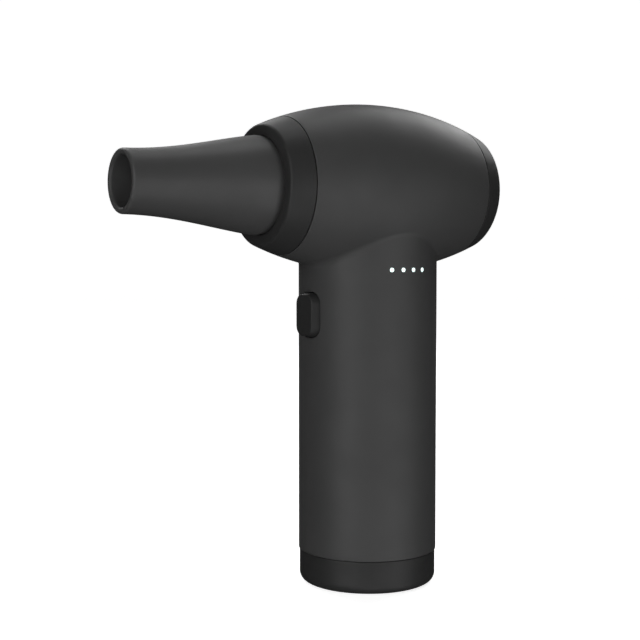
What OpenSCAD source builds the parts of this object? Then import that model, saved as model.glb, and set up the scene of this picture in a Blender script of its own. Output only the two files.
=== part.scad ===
// Cordless car dryer blower: a barrel-shaped fan head on a round handle, in millimetres.
// The handle stands on the XY plane with its centre line on Z. The fan axis runs along X at
// axis_h. Air enters the rear grille at +X and leaves the nozzle at -X.

/* [Handle] */
// Diameter of the handle
handle_d = 46; // [46:0.5:48]
// Height of the bottom cap's parting line
cap_h = 11; // [10.5:0.5:12]
// Radius of the rounded edge under the bottom cap
foot_round = 3; // [2:0.5:3]
// Wall thickness of the main housing
wall = 2.2; // [2:0.1:2.2]

/* [Head] */
// Height of the fan axis above the base
axis_h = 131; // [131:1:140]
// Largest diameter of the barrel
head_d = 55.2; // [55:0.2:58]
// Radius of the barrel's long arc
barrel_r = 108; // [106:1:112]
// Half the housing's length, from the handle's centre line to each parting line
seam_x = 34; // [33.5:0.5:34]
// Distance from the handle's centre line to the front ring's face
ring_face_x = 41.7; // [41.5:0.1:41.9]
// Distance from the handle's centre line to the top of the rear dome
dome_x = 45; // [44.5:0.5:46]
// Radius of the rear dome
dome_r = 51; // [50:1:54]

/* [Nozzle] */
// Distance from the handle's centre line to the nozzle's mouth
mouth_x = 89; // [80:1:95]
// Outer radius of the mouth
mouth_r = 9.8; // [9.5:0.1:10.5]
// Outer radius of the nozzle at its shoulder
shoulder_r = 15.6; // [15.5:0.1:15.7]
// Radius of the bore in the front ring that takes the nozzle's spigot
socket_r = 14.7; // [14.6:0.1:14.8]

/* [Trigger] */
// Height of the button's centre
button_z = 89.7; // [89.6:0.1:91]
// Width of the button at the handle's surface
button_w = 10.4; // [9.6:0.2:10.6]
// Height of the button at the handle's surface
button_h = 14.4; // [14:0.2:14.8]
// How far the button stands proud of the handle
button_proud = 2.2; // [2:0.1:2.4]

/* [Charge lights] */
// Number of lights
light_count = 4; // [3:1:4]
// Spacing of the lights
light_pitch = 4; // [3.5:0.1:4]
// Height of the row of lights
light_z = 104.4; // [104:0.1:105]

/* [Fan] */
// Inner radius of the fan duct
duct_r = 16.8; // [16.7:0.1:16.9]
// Number of impeller blades
blade_count = 11; // [9:1:13]
// Number of guide vanes
vane_count = 9; // [9:1:9]

/* [Hidden] */
handle_r = handle_d / 2;
bore_r = handle_r - wall;
cap_r = handle_r - 0.3;
head_r = head_d / 2;
seam_gap = 0.1;        // half the width of each parting line
ring_corner_r = 1.2;   // rounding of the front ring's rim
dome_corner_r = 3.1;   // rounding where the barrel meets the rear dome
skin = 2;              // skin of the front ring, the rear cap and the bottom cap
end_bore_r = 19.8;     // bore at both ends of the head
land_x = 26;           // inner end of those bores
ring_neck_r = 19.7;    // front ring's neck in that bore
rib_x = [-10, 15];     // centres of the two ribs that carry the fan duct
rib_w = 2;

socket_end_x = 28.5;   // floor of the nozzle socket
socket_wall = 1.6;
throat_r = 12.3;       // air passage at the socket's floor
neck_r = socket_r - 0.1;
neck_in_r = 12.2;
shoulder_x = ring_face_x + 2.6;    // where the nozzle's flare ends
shoulder_round = 5;
recess_r = socket_r + 0.75;        // shallow recess in the ring's face, round the socket
recess_x = ring_face_x - 2.8;
collar_r = recess_r - 0.15;        // nozzle's collar, which stands in that recess
collar_x = recess_x + 0.2;
mouth_in_r = mouth_r - 2;
seal_r = 0.65;         // half the thickness of both seal rings
neck_seal_x = 33;
cap_seal_x = 31;
cap_neck_r = 19.6;
cap_neck_in_r = 16.9;
foam_x = 36.3;
foam_t = 3;

duct_t = 1.4;
duct_x = [-20, 24];
hub_r = 9.8;
hub_in_r = 9;
vane_x = [-15, -3];
hub_end_x = 7;
core_x = [-8, 1];
core_in_r = 7.2;
end_plate_x = [-14, -11];
rear_wall_x = 3;
rear_bearing_r = 4.5;
front_bearing_r = 4;
shaft_r = 1.5;
impeller_x = [8, 20];
cone_x = -27;          // tip of the tail cone
motor_lead_x = -17.2;
motor_lead_pitch = 1.8;

neck_top = 14.5;       // top of the bottom cap's neck
boss_angles = [30, 150, 270];
boss_at = 16.4;        // distance of the screws from the handle's centre line
boss_r = 2.7;
boss_z = 14.8;
boss_len = 11;
screw_r = 1.25;
screw_seat = 3.4;      // floor of the screw heads' counterbores
post_angles = [90, 210, 330];
charge_board_z = 7.6;
socket_h = 3.2;
socket_w = 9;
cell_angles = [90, 210, 330];
cell_at = 11;
cell_r = 9;
cell_h = 65;
cell_z = 15.6;
strip_t = 0.3;
cell_top = cell_z + cell_h;
lead_r = 0.6;
// Charge leads run in the gap between two cells at 30 degrees, the negative lead in the gap at 270.
charge_lead_at = [10, 12.2];
negative_lead_at = 10.2;

board_x = -10.8;       // front face of the main board
board_t = 1.6;
board_w = 28.8;
board_z = [83.6, 105];
deck_z = 82;           // underside of the board carrier
deck_front_x = -16;
switch_front_x = -14.3;
switch_size = 6;
plunger_r = 1.75;
button_corner_r = 3.7;
flange_w = 12.6;
flange_h = 16.4;
light_board_y = -16.6; // back face of the light board

$fn = 96;

// ---- shared shapes ----

// Turns a shape drawn about Z so that it lies on the fan axis, with its Z along X.
module on_fan_axis() {
  translate([0, 0, axis_h]) rotate([0, 90, 0]) children();
}

// A plain tube on the fan axis between two values of x.
module axis_tube(x0, x1, outer, inner) {
  on_fan_axis() difference() {
    translate([0, 0, x0]) cylinder(r = outer, h = x1 - x0);
    if (inner > 0) translate([0, 0, x0 - 1]) cylinder(r = inner, h = x1 - x0 + 2);
  }
}

// An upright tube on the handle's centre line.
module handle_tube(z0, z1, outer, inner) {
  difference() {
    translate([0, 0, z0]) cylinder(r = outer, h = z1 - z0);
    if (inner > 0) translate([0, 0, z0 - 1]) cylinder(r = inner, h = z1 - z0 + 2);
  }
}

// Repeats a shape at each angle, at distance r from the handle's centre line.
module around_handle(angles, r) {
  for (a = angles) rotate([0, 0, a]) translate([r, 0, 0]) children();
}

// Half outline of the barrel, offset inwards by t, between two heights of its own axis.
module barrel_half(t, from, to) {
  intersection() {
    translate([head_r - barrel_r, 0]) circle(r = barrel_r - t, $fn = 256);
    translate([0, from]) square([head_r + 5, to - from]);
  }
}

// Radius of the barrel at a distance x from the handle's centre line.
function barrel_at(x) = head_r - barrel_r + sqrt(barrel_r * barrel_r - x * x);

// Centre of a circle of radius c that touches the barrel's arc and the dome's arc from inside.
function dome_corner(c) =
  let (
    a = barrel_r - c,
    b = dome_r - c,
    p = [head_r - barrel_r, 0],
    q = [0, dome_x - dome_r],
    d = norm(q - p),
    u = (q - p) / d,
    n = [-u[1], u[0]],
    along = (a * a - b * b + d * d) / (2 * d)
  ) p + along * u + sqrt(a * a - along * along) * n;

// Half outline of the rear cap with its rounded corner, offset inwards by t.
module dome_half(t) {
  corner = dome_corner(dome_corner_r);
  to_barrel = (corner - [head_r - barrel_r, 0]) / norm(corner - [head_r - barrel_r, 0]);
  to_dome = (corner - [0, dome_x - dome_r]) / norm(corner - [0, dome_x - dome_r]);
  reach = 8;
  difference() {
    intersection() {
      barrel_half(t, seam_x + seam_gap, dome_x + 1);
      translate([0, dome_x - dome_r]) circle(r = dome_r - t, $fn = 256);
    }
    polygon([
      corner, corner + reach * to_barrel, corner + reach * (to_barrel + to_dome), corner + reach * to_dome
    ]);
  }
  translate(corner) circle(r = dome_corner_r - t, $fn = 64);
}

// Half outline of the front ring, offset inwards by t. Its rim stays round while t is below the
// rim's radius. Drawn with the face down.
module ring_half(t) {
  rim_x = ring_face_x - ring_corner_r;
  // The rim's centre lies inside the barrel's arc by the rim's radius.
  rim_centre = head_r - barrel_r + sqrt(pow(barrel_r - ring_corner_r, 2) - rim_x * rim_x);
  slope = asin(rim_x / (barrel_r - ring_corner_r));
  difference() {
    barrel_half(t, -ring_face_x + t, -seam_x - seam_gap);
    if (t < ring_corner_r) polygon([
      [rim_centre, -rim_x],
      [rim_centre + 9 * cos(slope), -rim_x - 9 * sin(slope)],
      [rim_centre + 9, -rim_x - 9],
      [rim_centre, -rim_x - 9]
    ]);
  }
  if (t < ring_corner_r) translate([rim_centre, -rim_x]) circle(r = ring_corner_r - t, $fn = 64);
}

// An upright opening of width w and height h with corners of radius r, along X from x0 to x1.
module slot(w, h, r, x0, x1) {
  translate([x0, 0, 0]) rotate([90, 0, 90]) linear_extrude(x1 - x0) {
    square([w, h - 2 * r], center = true);
    square([w - 2 * r, h], center = true);
    for (y = [-1, 1], z = [-1, 1]) translate([y * (w / 2 - r), z * (h / 2 - r)]) circle(r = r);
  }
}

// An upright slot of width w and height h with round ends, along X from x0 to x1.
module stadium(w, h, x0, x1) {
  for (s = [-1, 1]) translate([x0, 0, s * (h - w) / 2]) rotate([0, 90, 0]) cylinder(d = w, h = x1 - x0);
  translate([x0, -w / 2, -(h - w) / 2]) cube([x1 - x0, w, h - w]);
}

// A round wire along straight stretches between the points of a list, with ball corners.
module wire(points, r) {
  for (i = [0 : len(points) - 2]) {
    step = points[i + 1] - points[i];
    turn = [0, acos(step[2] / norm(step)), atan2(step[1], step[0])];
    translate(points[i]) rotate(turn) cylinder(r = r, h = norm(step), $fn = 24);
    if (i > 0) translate(points[i]) sphere(r = r, $fn = 24);
  }
}

// ---- housing ----

module main_housing() {
  // The handle runs up into the barrel until its whole rim lies under the barrel's skin.
  handle_top = axis_h - sqrt(head_r * head_r - handle_r * handle_r) + 0.4;
  bore_top = axis_h - sqrt(pow(head_r - wall, 2) - bore_r * bore_r) + 1.5;
  color("#424242") difference() {
    union() {
      difference() {
        union() {
          on_fan_axis() rotate_extrude() barrel_half(0, -seam_x + seam_gap, seam_x - seam_gap);
          handle_tube(cap_h + seam_gap, handle_top, handle_r, 0);
        }
        on_fan_axis() rotate_extrude() barrel_half(wall, -land_x, land_x);
        axis_tube(-seam_x - 1, seam_x + 1, end_bore_r, 0);
        handle_tube(cap_h - 1, bore_top, bore_r, 0);
      }
      for (x = rib_x) axis_tube(x - rib_w / 2, x + rib_w / 2, barrel_at(x) - wall + 0.4, end_bore_r);
      around_handle(boss_angles, boss_at) screw_boss();
    }
    for (i = [0 : light_count - 1]) translate([light_x(i), -bore_r + 2, light_z])
      rotate([90, 0, 0]) cylinder(r = 0.85, h = wall + 3);
    translate([0, 0, button_z])
      slot(button_w + 0.5, button_h + 0.5, button_corner_r + 0.25, -handle_r - 1, -bore_r + 2);
  }
}

module screw_boss() {
  difference() {
    union() {
      translate([0, 0, boss_z]) cylinder(r = boss_r, h = boss_len);
      translate([0, -1.2, boss_z]) cube([bore_r + 0.5 - boss_at, 2.4, boss_len]);
    }
    translate([0, 0, boss_z - 1]) cylinder(r = screw_r + 0.03, h = boss_len - 1);
  }
}

// Position of a charge light along X.
function light_x(i) = (i - (light_count - 1) / 2) * light_pitch;

module front_ring() {
  color("#2b2b2b") on_fan_axis() rotate_extrude() {
    difference() {
      ring_half(0);
      // Room between the skin and the socket, open towards the fan.
      difference() {
        ring_half(skin);
        translate([0, -ring_face_x - 1]) square([socket_r + socket_wall, 40]);
      }
      translate([0, -ring_face_x - 1]) square([socket_r, 20]);
      translate([0, -ring_face_x - 1]) square([recess_r, ring_face_x + 1 - recess_x]);
      translate([recess_r, -ring_face_x]) rotate(45) square(0.5, center = true);
    }
    translate([ring_neck_r - 1.8, -seam_x - 2.5]) square([1.8, seam_x + 2.5 - land_x - 1]);
    translate([ring_neck_r - 1.8, -seam_x - 2.5]) square([3, 2.5 - seam_gap]);
    translate([socket_r, -seam_x - 4]) square([socket_wall, seam_x + 4 - socket_end_x + 1.5]);
    // Floor of the socket, and the funnel that leads the air into it.
    polygon([
      [throat_r, -socket_end_x], [socket_r + socket_wall, -socket_end_x],
      [socket_r + socket_wall, -socket_end_x + 1.5], [throat_r + 2.3, -socket_end_x + 1.5],
      [duct_r + duct_t, duct_x[0] - 0.3], [duct_r, duct_x[0] - 0.3]
    ]);
  }
}

// ---- nozzle ----

// Share of the way from the mouth's radius to the shoulder's, for t from 0 to 1 along the nozzle.
function flare(t) = t * t * (1.5 - 0.5 * t * t);

// Points of the nozzle's wall between the radii r0 and r1, for the steps in a list.
function nozzle_wall(r0, r1, steps, count, from, to) =
  [for (i = steps) [r0 + (r1 - r0) * flare(i / count), from + (to - from) * i / count]];

module nozzle() {
  count = 28;
  lip = 0.9;
  from = -mouth_x + lip;
  to = -shoulder_x;
  // The shoulder rolls in from the flare's end slope through an arc until it meets the collar.
  slope = atan((shoulder_r - mouth_r) / (to - from));
  roll_r = shoulder_r - shoulder_round * cos(slope);
  roll_end = acos((collar_r - roll_r) / shoulder_round);
  roll = [for (i = [1 : 8])
    let (a = -slope + (roll_end + slope) * i / 8)
      [roll_r + shoulder_round * cos(a), to + shoulder_round * (sin(slope) + sin(a))]];
  color("#424242") on_fan_axis() rotate_extrude() difference() {
    polygon(concat(
      [[mouth_in_r + lip, -mouth_x], [mouth_r - lip, -mouth_x]],
      nozzle_wall(mouth_r, shoulder_r, [0 : count], count, from, to),
      roll,
      [[collar_r, -collar_x], [neck_r, -collar_x]],
      [[neck_r, -socket_end_x - 0.2], [neck_in_r, -socket_end_x - 0.2]],
      nozzle_wall(mouth_in_r, neck_in_r, [count : -1 : 0], count, from, to)
    ));
    translate([neck_r - 1.4, -neck_seal_x - seal_r - 0.1]) square([3, 2 * seal_r + 0.2]);
  }
}

// A seal ring on the fan axis with its outside at radius r.
module seal_ring(x, r) {
  on_fan_axis() rotate_extrude() translate([r - seal_r, x]) circle(r = seal_r, $fn = 32);
}

module nozzle_seal() {
  color("#151515") seal_ring(-neck_seal_x, socket_r - 0.1);
}

// ---- rear cap and its filter ----

// Cuts a radial slot with round ends through the dome.
module intake_slot(from, to, w) {
  for (r = [from, to]) translate([r, 0, foam_x]) cylinder(d = w, h = 20, $fn = 24);
  translate([from, -w / 2, foam_x]) cube([to - from, w, 20]);
}

module rear_grille() {
  inner_slots = 12;
  outer_slots = 24;
  slot_w = 1.6;
  color("#2b2b2b") on_fan_axis() difference() {
    rotate_extrude() difference() {
      union() {
        difference() {
          dome_half(0);
          dome_half(skin);
        }
        translate([cap_neck_in_r, 28]) square([cap_neck_r - cap_neck_in_r, seam_x - 27]);
        translate([cap_neck_in_r, seam_x + seam_gap]) square([barrel_at(seam_x) - 1 - cap_neck_in_r, 2]);
      }
      translate([cap_neck_r - 1.3, cap_seal_x - seal_r - 0.1]) square([3, 2 * seal_r + 0.2]);
    }
    for (i = [1 : inner_slots]) rotate([0, 0, (i - 0.5) * 360 / inner_slots]) intake_slot(5, 8.4, slot_w);
    for (i = [1 : outer_slots]) rotate([0, 0, i * 360 / outer_slots]) intake_slot(11, 15.4, slot_w);
  }
}

module rear_cap_seal() {
  color("#151515") seal_ring(cap_seal_x, end_bore_r - 0.1);
}

module filter_foam() {
  color("#2f3133") axis_tube(foam_x, foam_x + foam_t, cap_neck_in_r - 0.3, 0);
}

module filter_retainer() {
  x = 34.6;
  t = 1.6;
  r = cap_neck_in_r - 0.1;
  color("#303030") {
    axis_tube(x, x + t, r, r - 1.5);
    for (a = [0, 60, 120]) on_fan_axis() rotate([0, 0, a])
      translate([-r + 0.8, -0.7, x]) cube([2 * r - 1.6, 1.4, t]);
  }
}

// ---- bottom cap and charging ----

// Half outline of the bottom cap, offset inwards by t.
module foot_half(t) {
  r = cap_r - t;
  corner = foot_round - t / 2;
  translate([0, t]) square([r - corner, cap_h]);
  translate([0, t + corner]) square([r, cap_h]);
  translate([r - corner, t + corner]) circle(r = corner);
}

module bottom_cap() {
  color("#2b2b2b") difference() {
    union() {
      rotate_extrude() difference() {
        intersection() {
          foot_half(0);
          square([cap_r + 1, cap_h - seam_gap]);
        }
        foot_half(skin);
      }
      handle_tube(cap_h - 3, neck_top, bore_r - 0.2, bore_r - 1.8);
      handle_tube(cap_h - 2.5, cap_h - seam_gap, cap_r - 1, bore_r - 1);
      around_handle(boss_angles, boss_at) {
        translate([0, 0, 1]) cylinder(r = 2.9, h = neck_top - 1.4);
        translate([0, -2.3, cap_h - 2]) cube([bore_r - 1 - boss_at, 4.6, neck_top - cap_h + 1]);
      }
      around_handle(post_angles, 17.2) translate([0, 0, 1]) cylinder(r = 1.4, h = charge_board_z - 1);
    }
    around_handle(boss_angles, boss_at) {
      translate([0, 0, -1]) cylinder(r = 2.5, h = screw_seat + 1);
      translate([0, 0, -1]) cylinder(r = screw_r + 0.2, h = neck_top + 2);
    }
    lying_stadium(cap_r - 5, cap_r + 1, socket_w + 0.8, socket_h + 0.6);
  }
}

// A slot with round ends lying across X at the height of the charge socket.
module lying_stadium(x0, x1, w, h) {
  translate([0, 0, charge_board_z - socket_h / 2]) rotate([90, 0, 0]) stadium(h, w, x0, x1);
}

module bottom_cap_screws() {
  head_h = 2.1;
  color("#8c8c8c") around_handle(boss_angles, boss_at) difference() {
    union() {
      translate([0, 0, screw_seat - head_h]) cylinder(r = 2.3, h = head_h);
      translate([0, 0, screw_seat - head_h]) cylinder(r = screw_r - 0.05, h = 21);
    }
    for (a = [0, 90]) rotate([0, 0, a]) translate([-1.3, -0.3, screw_seat - head_h - 1]) cube([2.6, 0.6, 2]);
  }
}

module charge_board() {
  color("#1f5c3a") difference() {
    handle_tube(charge_board_z, charge_board_z + board_t, bore_r - 2.2, 0);
    around_handle(boss_angles, boss_at) translate([0, 0, charge_board_z - 1]) cylinder(r = 3.2, h = 4);
    around_handle(boss_angles, boss_at) translate([0, -3.2, charge_board_z - 1]) cube([6, 6.4, 4]);
  }
}

module charge_socket() {
  front = cap_r - 0.7;
  shell = 0.3;
  color("#a9abad") {
    difference() {
      lying_stadium(15, front, socket_w, socket_h);
      lying_stadium(15 + 1, front + 1, socket_w - 2 * shell, socket_h - 2 * shell);
    }
    translate([15.5, -3.3, charge_board_z - socket_h / 2 - 0.35]) cube([front - 1 - 15.5, 6.6, 0.7]);
  }
}

module charge_leads() {
  color("#b02020") for (i = [0, 1]) {
    p = charge_lead_at[i] * [cos(30), sin(30)];
    z = 90 + 3 * i;
    wire([[p[0], p[1], charge_board_z + board_t], [p[0], p[1], z], [board_x + board_t, p[1], z]], lead_r);
  }
}

// ---- battery ----

// One cell with its raised cap at the top and the crimped groove below it.
module cell(inverted) {
  nub = 0.8;
  translate([0, 0, inverted ? cell_z + cell_h : cell_z]) rotate([inverted ? 180 : 0, 0, 0]) rotate_extrude()
    difference() {
      union() {
        square([cell_r, cell_h - nub]);
        square([3.3, cell_h]);
      }
      translate([cell_r, cell_h - nub - 3]) circle(r = 0.5, $fn = 32);
    }
}

module battery_cell_1() {
  color("#2d6f9e") rotate([0, 0, cell_angles[0]]) translate([cell_at, 0, 0]) cell(false);
}

module battery_cell_2() {
  color("#2d6f9e") rotate([0, 0, cell_angles[1]]) translate([cell_at, 0, 0]) cell(true);
}

module battery_cell_3() {
  color("#2d6f9e") rotate([0, 0, cell_angles[2]]) translate([cell_at, 0, 0]) cell(false);
}

// A three-armed spacer that grips the cells, with holes for the leads.
module cell_spacer(z) {
  t = 4;
  color("#262626") difference() {
    handle_tube(z, z + t, bore_r - 0.3, 0);
    around_handle(cell_angles, cell_at) translate([0, 0, z - 1]) cylinder(r = cell_r + 0.15, h = t + 2);
    around_handle(cell_angles, cell_at) translate([0, -5, z - 1]) cube([20, 10, t + 2]);
    lead_holes(z - 1, t + 2, lead_r + 0.2);
  }
}

// Holes for the charge leads and for the negative lead.
module lead_holes(z, h, r) {
  for (at = charge_lead_at) rotate([0, 0, 30]) translate([at, 0, z]) cylinder(r = r, h = h, $fn = 32);
  translate([0, -negative_lead_at, z]) cylinder(r = r, h = h, $fn = 32);
}

module cell_spacer_lower() {
  cell_spacer(28);
}

module cell_spacer_upper() {
  cell_spacer(70);
}

// Centre of a cell seen from above.
function cell_centre(i) = cell_at * [cos(cell_angles[i]), sin(cell_angles[i])];

// A flat strip from p towards q that runs past both by half of w.
module strip(p, q, z, w) {
  d = q - p;
  translate([p[0], p[1], z]) rotate([0, 0, atan2(d[1], d[0])]) translate([-w / 2, -w / 2, 0])
    cube([norm(d) + w, w, strip_t]);
}

module cell_strips_lower() {
  color("#c9c9c4") {
    strip(cell_centre(0), cell_centre(1), cell_z - strip_t, 6);
    strip(cell_centre(2), [0.8, -negative_lead_at + 0.4], cell_z - strip_t, 3);
  }
}

module cell_strips_upper() {
  color("#c9c9c4") {
    strip(cell_centre(1), cell_centre(2), cell_top, 6);
    strip(cell_centre(0) - [3, 0], cell_centre(0) + [3, 0], cell_top, 5);
  }
}

module pack_insulator() {
  color("#1d4f7a") difference() {
    handle_tube(cell_top + 0.4, cell_top + 0.8, bore_r - 0.6, 0);
    lead_holes(cell_top, 2, lead_r + 0.2);
    positive_lead_hole(cell_top, 2);
    translate([-30, -15, cell_top]) cube([30 + deck_front_x, 30, 2]);
  }
}

module positive_lead_hole(z, h) {
  translate([cell_centre(0)[0], cell_centre(0)[1], z]) cylinder(r = lead_r + 0.3, h = h, $fn = 32);
}

module battery_leads() {
  z = 87.5;
  p = cell_centre(0);
  color("#b02020") {
    wire([[p[0], p[1], cell_top + strip_t], [p[0], p[1], z], [board_x + board_t, p[1], z]], lead_r);
    wire([
      [0, -negative_lead_at, cell_z], [0, -negative_lead_at, z], [board_x + board_t, -negative_lead_at, z]
    ], lead_r);
  }
}

// ---- electronics ----

module board_carrier() {
  rail_y = board_w / 2 - 1;
  color("#303030") {
    difference() {
      handle_tube(deck_z, board_z[0], bore_r - 0.4, 0);
      lead_holes(deck_z - 1, 4, lead_r + 0.2);
      positive_lead_hole(deck_z - 1, 4);
      translate([-30, -15, deck_z - 1]) cube([30 + deck_front_x, 30, 4]);
    }
    difference() {
      for (s = [-1, 1]) translate([board_x - 1.6, s * (rail_y + 1.4) - 1.4, deck_z])
        cube([4.8, 2.8, board_z[1] - deck_z]);
      translate([board_x - 0.05, -board_w / 2 - 0.1, board_z[0]])
        cube([board_t + 0.1, board_w + 0.2, 30]);
    }
    // Arm that holds the light board.
    translate([-8.5, light_board_y, 102]) cube([18, 1.2, 5]);
  }
}

module main_board() {
  color("#1f5c3a") translate([board_x, -board_w / 2, board_z[0]])
    cube([board_t, board_w, board_z[1] - board_z[0]]);
}

module power_chips() {
  color("#1b1b1b") {
    for (y = [-9.9, -4.1, 1.7]) for (z = [95.5, 100.5]) translate([board_x + board_t, y, z]) cube([1, 4, 4]);
    translate([board_x + board_t, -5, 85]) cube([1, 6, 6]);
  }
}

module capacitors() {
  color("#3a3a44") for (z = [92.2, 99]) translate([board_x + board_t, 10.2, z])
    rotate([0, 90, 0]) cylinder(r = 3.1, h = 9);
}

module lead_connector() {
  color("#e8e6dc") translate([board_x - 2, -3.2, 100]) cube([2, 6.4, 4]);
}

module trigger_switch() {
  front = switch_front_x;
  color("#1b1b1b") difference() {
    translate([front, -switch_size / 2, button_z - switch_size / 2])
      cube([board_x - front, switch_size, switch_size]);
    translate([front - 1, 0, button_z]) rotate([0, 90, 0]) cylinder(r = plunger_r + 0.05, h = 1 + 2.9);
  }
}

module switch_plunger() {
  color("#c8b26a") translate([-15.9, 0, button_z]) rotate([0, 90, 0]) cylinder(r = plunger_r, h = 3);
}

module trigger_button() {
  draft = 0.5;
  face_x = -handle_r - button_proud;
  base_x = -handle_r + 0.3;
  flange_x = -sqrt(bore_r * bore_r - flange_w * flange_w / 4) + 0.3;
  core_w = button_w / 2 - button_corner_r;
  core_h = button_h / 2 - button_corner_r;
  color("#262626") translate([0, 0, button_z]) {
    slot(button_w, button_h, button_corner_r, base_x, flange_x + 0.5);
    slot(flange_w, flange_h, flange_w / 2 - core_w, flange_x, flange_x + 1.2);
    translate([flange_x + 1, 0, 0]) rotate([0, 90, 0]) cylinder(r = 2.2, h = -16 - flange_x - 1);
    // The part that stands proud is drafted towards its flat face.
    for (y = [-1, 1], z = [-1, 1]) translate([base_x, y * core_w, z * core_h]) rotate([0, -90, 0])
      cylinder(r1 = button_corner_r, r2 = button_corner_r - draft, h = base_x - face_x);
    linear_extrude(2 * core_h, center = true) polygon([
      [base_x, -button_w / 2], [base_x, button_w / 2],
      [face_x, button_w / 2 - draft], [face_x, -button_w / 2 + draft]
    ]);
    rotate([90, 0, 0]) linear_extrude(2 * core_w, center = true) polygon([
      [base_x, -button_h / 2], [base_x, button_h / 2],
      [face_x, button_h / 2 - draft], [face_x, -button_h / 2 + draft]
    ]);
  }
}

// ---- charge lights ----

module light_guide() {
  bar_y = light_board_y - 1.6;
  half = light_x(light_count - 1) + 1.1;
  color("#dff6fb") {
    translate([-half, bar_y - 1, light_z - 1.2]) cube([2 * half, 1, 2.4]);
    for (i = [0 : light_count - 1]) translate([light_x(i), bar_y - 0.5, light_z]) rotate([90, 0, 0])
      cylinder(r = 0.75, h = sqrt(handle_r * handle_r - pow(light_x(i), 2)) + bar_y - 0.5 - 0.05, $fn = 32);
  }
}

module light_board() {
  color("#1f5c3a") translate([-10, light_board_y - 1, light_z - 3]) cube([20, 1, 6]);
}

module light_chips() {
  color("#f2f0c8") for (i = [0 : light_count - 1])
    translate([light_x(i) - 0.8, light_board_y - 1.5, light_z - 0.8]) cube([1.6, 0.5, 1.6]);
}

module light_leads() {
  color("#c8c8c8") for (i = [0, 1]) {
    x = -5 + 2 * i;
    z = 97.5 - 2 * i;
    top = [x, light_board_y - 0.5, light_z - 3];
    wire([top, [x, top[1], z], [x, -11.5, z], [board_x + board_t, -11.5, z]], 0.4);
  }
}

// ---- fan and motor ----

module fan_duct() {
  color("#383838") difference() {
    on_fan_axis() rotate_extrude() difference() {
      translate([duct_r, duct_x[0]]) square([duct_t, duct_x[1] - duct_x[0]]);
      // Rounded mouth at the intake end.
      difference() {
        translate([duct_r - 0.5, duct_x[1] - duct_t]) square([duct_t + 0.5, duct_t + 0.5]);
        translate([duct_r + duct_t, duct_x[1] - duct_t]) circle(r = duct_t);
      }
    }
    motor_lead_slot(duct_r - 1, duct_r + duct_t + 1);
  }
}

// Cuts the way out for the motor leads between two radii, below the fan axis.
module motor_lead_slot(r0, r1) {
  translate([motor_lead_x - 1, -2.7, axis_h - r1]) cube([2, 5.4, r1 - r0]);
}

// A rubber ring with a channel that sits on one of the housing's ribs.
module duct_cushion(x) {
  color("#1c1c1c") difference() {
    axis_tube(x - 2, x + 2, end_bore_r + 1, duct_r + duct_t + 0.05);
    axis_tube(x - rib_w / 2 - 0.05, x + rib_w / 2 + 0.05, end_bore_r + 3, end_bore_r - 0.05);
  }
}

module duct_cushion_front() {
  duct_cushion(rib_x[0]);
}

module duct_cushion_rear() {
  duct_cushion(rib_x[1]);
}

module vane_carrier() {
  ring_r = duct_r - 0.05;
  color("#3a3a3a") difference() {
    union() {
      axis_tube(vane_x[0], hub_end_x, hub_r, 0);
      axis_tube(vane_x[0], vane_x[1], ring_r, ring_r - 0.85);
      intersection() {
        axis_tube(vane_x[0], vane_x[1], ring_r - 0.4, hub_r - 0.4);
        for (i = [1 : vane_count]) on_fan_axis() rotate([0, 0, (i - 0.5) * 360 / vane_count])
          translate([0, 0, (vane_x[0] + vane_x[1]) / 2]) rotate([14, 0, 0])
            translate([5, -0.6, -9]) cube([14, 1.2, 18]);
      }
    }
    axis_tube(vane_x[0] - 1, rear_wall_x, hub_in_r, 0);
    axis_tube(rear_wall_x - 1, hub_end_x + 1, rear_bearing_r + 0.02, 0);
  }
}

module motor_core() {
  color("#6f7378") {
    axis_tube(core_x[0], core_x[1], hub_in_r - 0.1, core_in_r);
    for (i = [0 : 5]) on_fan_axis() rotate([0, 0, 60 * i])
      translate([4.7, -1, core_x[0]]) cube([core_in_r - 4.4, 2, core_x[1] - core_x[0]]);
  }
}

module motor_windings() {
  color("#b5652b") for (i = [0 : 5]) on_fan_axis() rotate([0, 0, 60 * i]) difference() {
    translate([5.1, -2.1, core_x[0] - 1.5]) cube([1.7, 4.2, core_x[1] - core_x[0] + 3]);
    translate([4, -1.05, core_x[0] - 0.05]) cube([4, 2.1, core_x[1] - core_x[0] + 0.1]);
  }
}

module motor_end_plate() {
  color("#9a9da1") difference() {
    axis_tube(end_plate_x[0], end_plate_x[1], hub_in_r - 0.05, front_bearing_r);
    for (i = [0 : 3]) on_fan_axis() rotate([0, 0, 45 + 90 * i])
      translate([6.5, 0, -20]) cylinder(r = 1.2, h = 20);
  }
}

module bearing_front() {
  color("#b9bbbd") axis_tube(end_plate_x[0], end_plate_x[1], front_bearing_r, shaft_r + 0.02);
}

module bearing_rear() {
  color("#b9bbbd") axis_tube(rear_wall_x, hub_end_x, rear_bearing_r, shaft_r + 0.02);
}

module motor_board() {
  color("#1f5c3a") axis_tube(vane_x[0] - 1.6, vane_x[0] - 0.6, 8.6, 1.5);
}

// Share of the hub's radius left at t from 0 to 1 along the tail cone.
function cone_taper(t) = sqrt(1 - pow(0.95 * t, 2));

module tail_cone() {
  wall_t = 0.9;
  len = vane_x[0] - cone_x;
  steps = 12;
  outer = [for (i = [0 : steps]) [hub_r * cone_taper(i / steps), -len * i / steps]];
  inner = [for (i = [steps : -1 : 0]) [(hub_r - wall_t) * cone_taper(i / steps), -(len - 1) * i / steps]];
  color("#3a3a3a") difference() {
    on_fan_axis() translate([0, 0, vane_x[0]]) rotate_extrude() polygon(concat(
      outer, [[0, -len], [0, -len + 1]], inner
    ));
    motor_lead_slot(6, hub_r + 1);
  }
}

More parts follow.
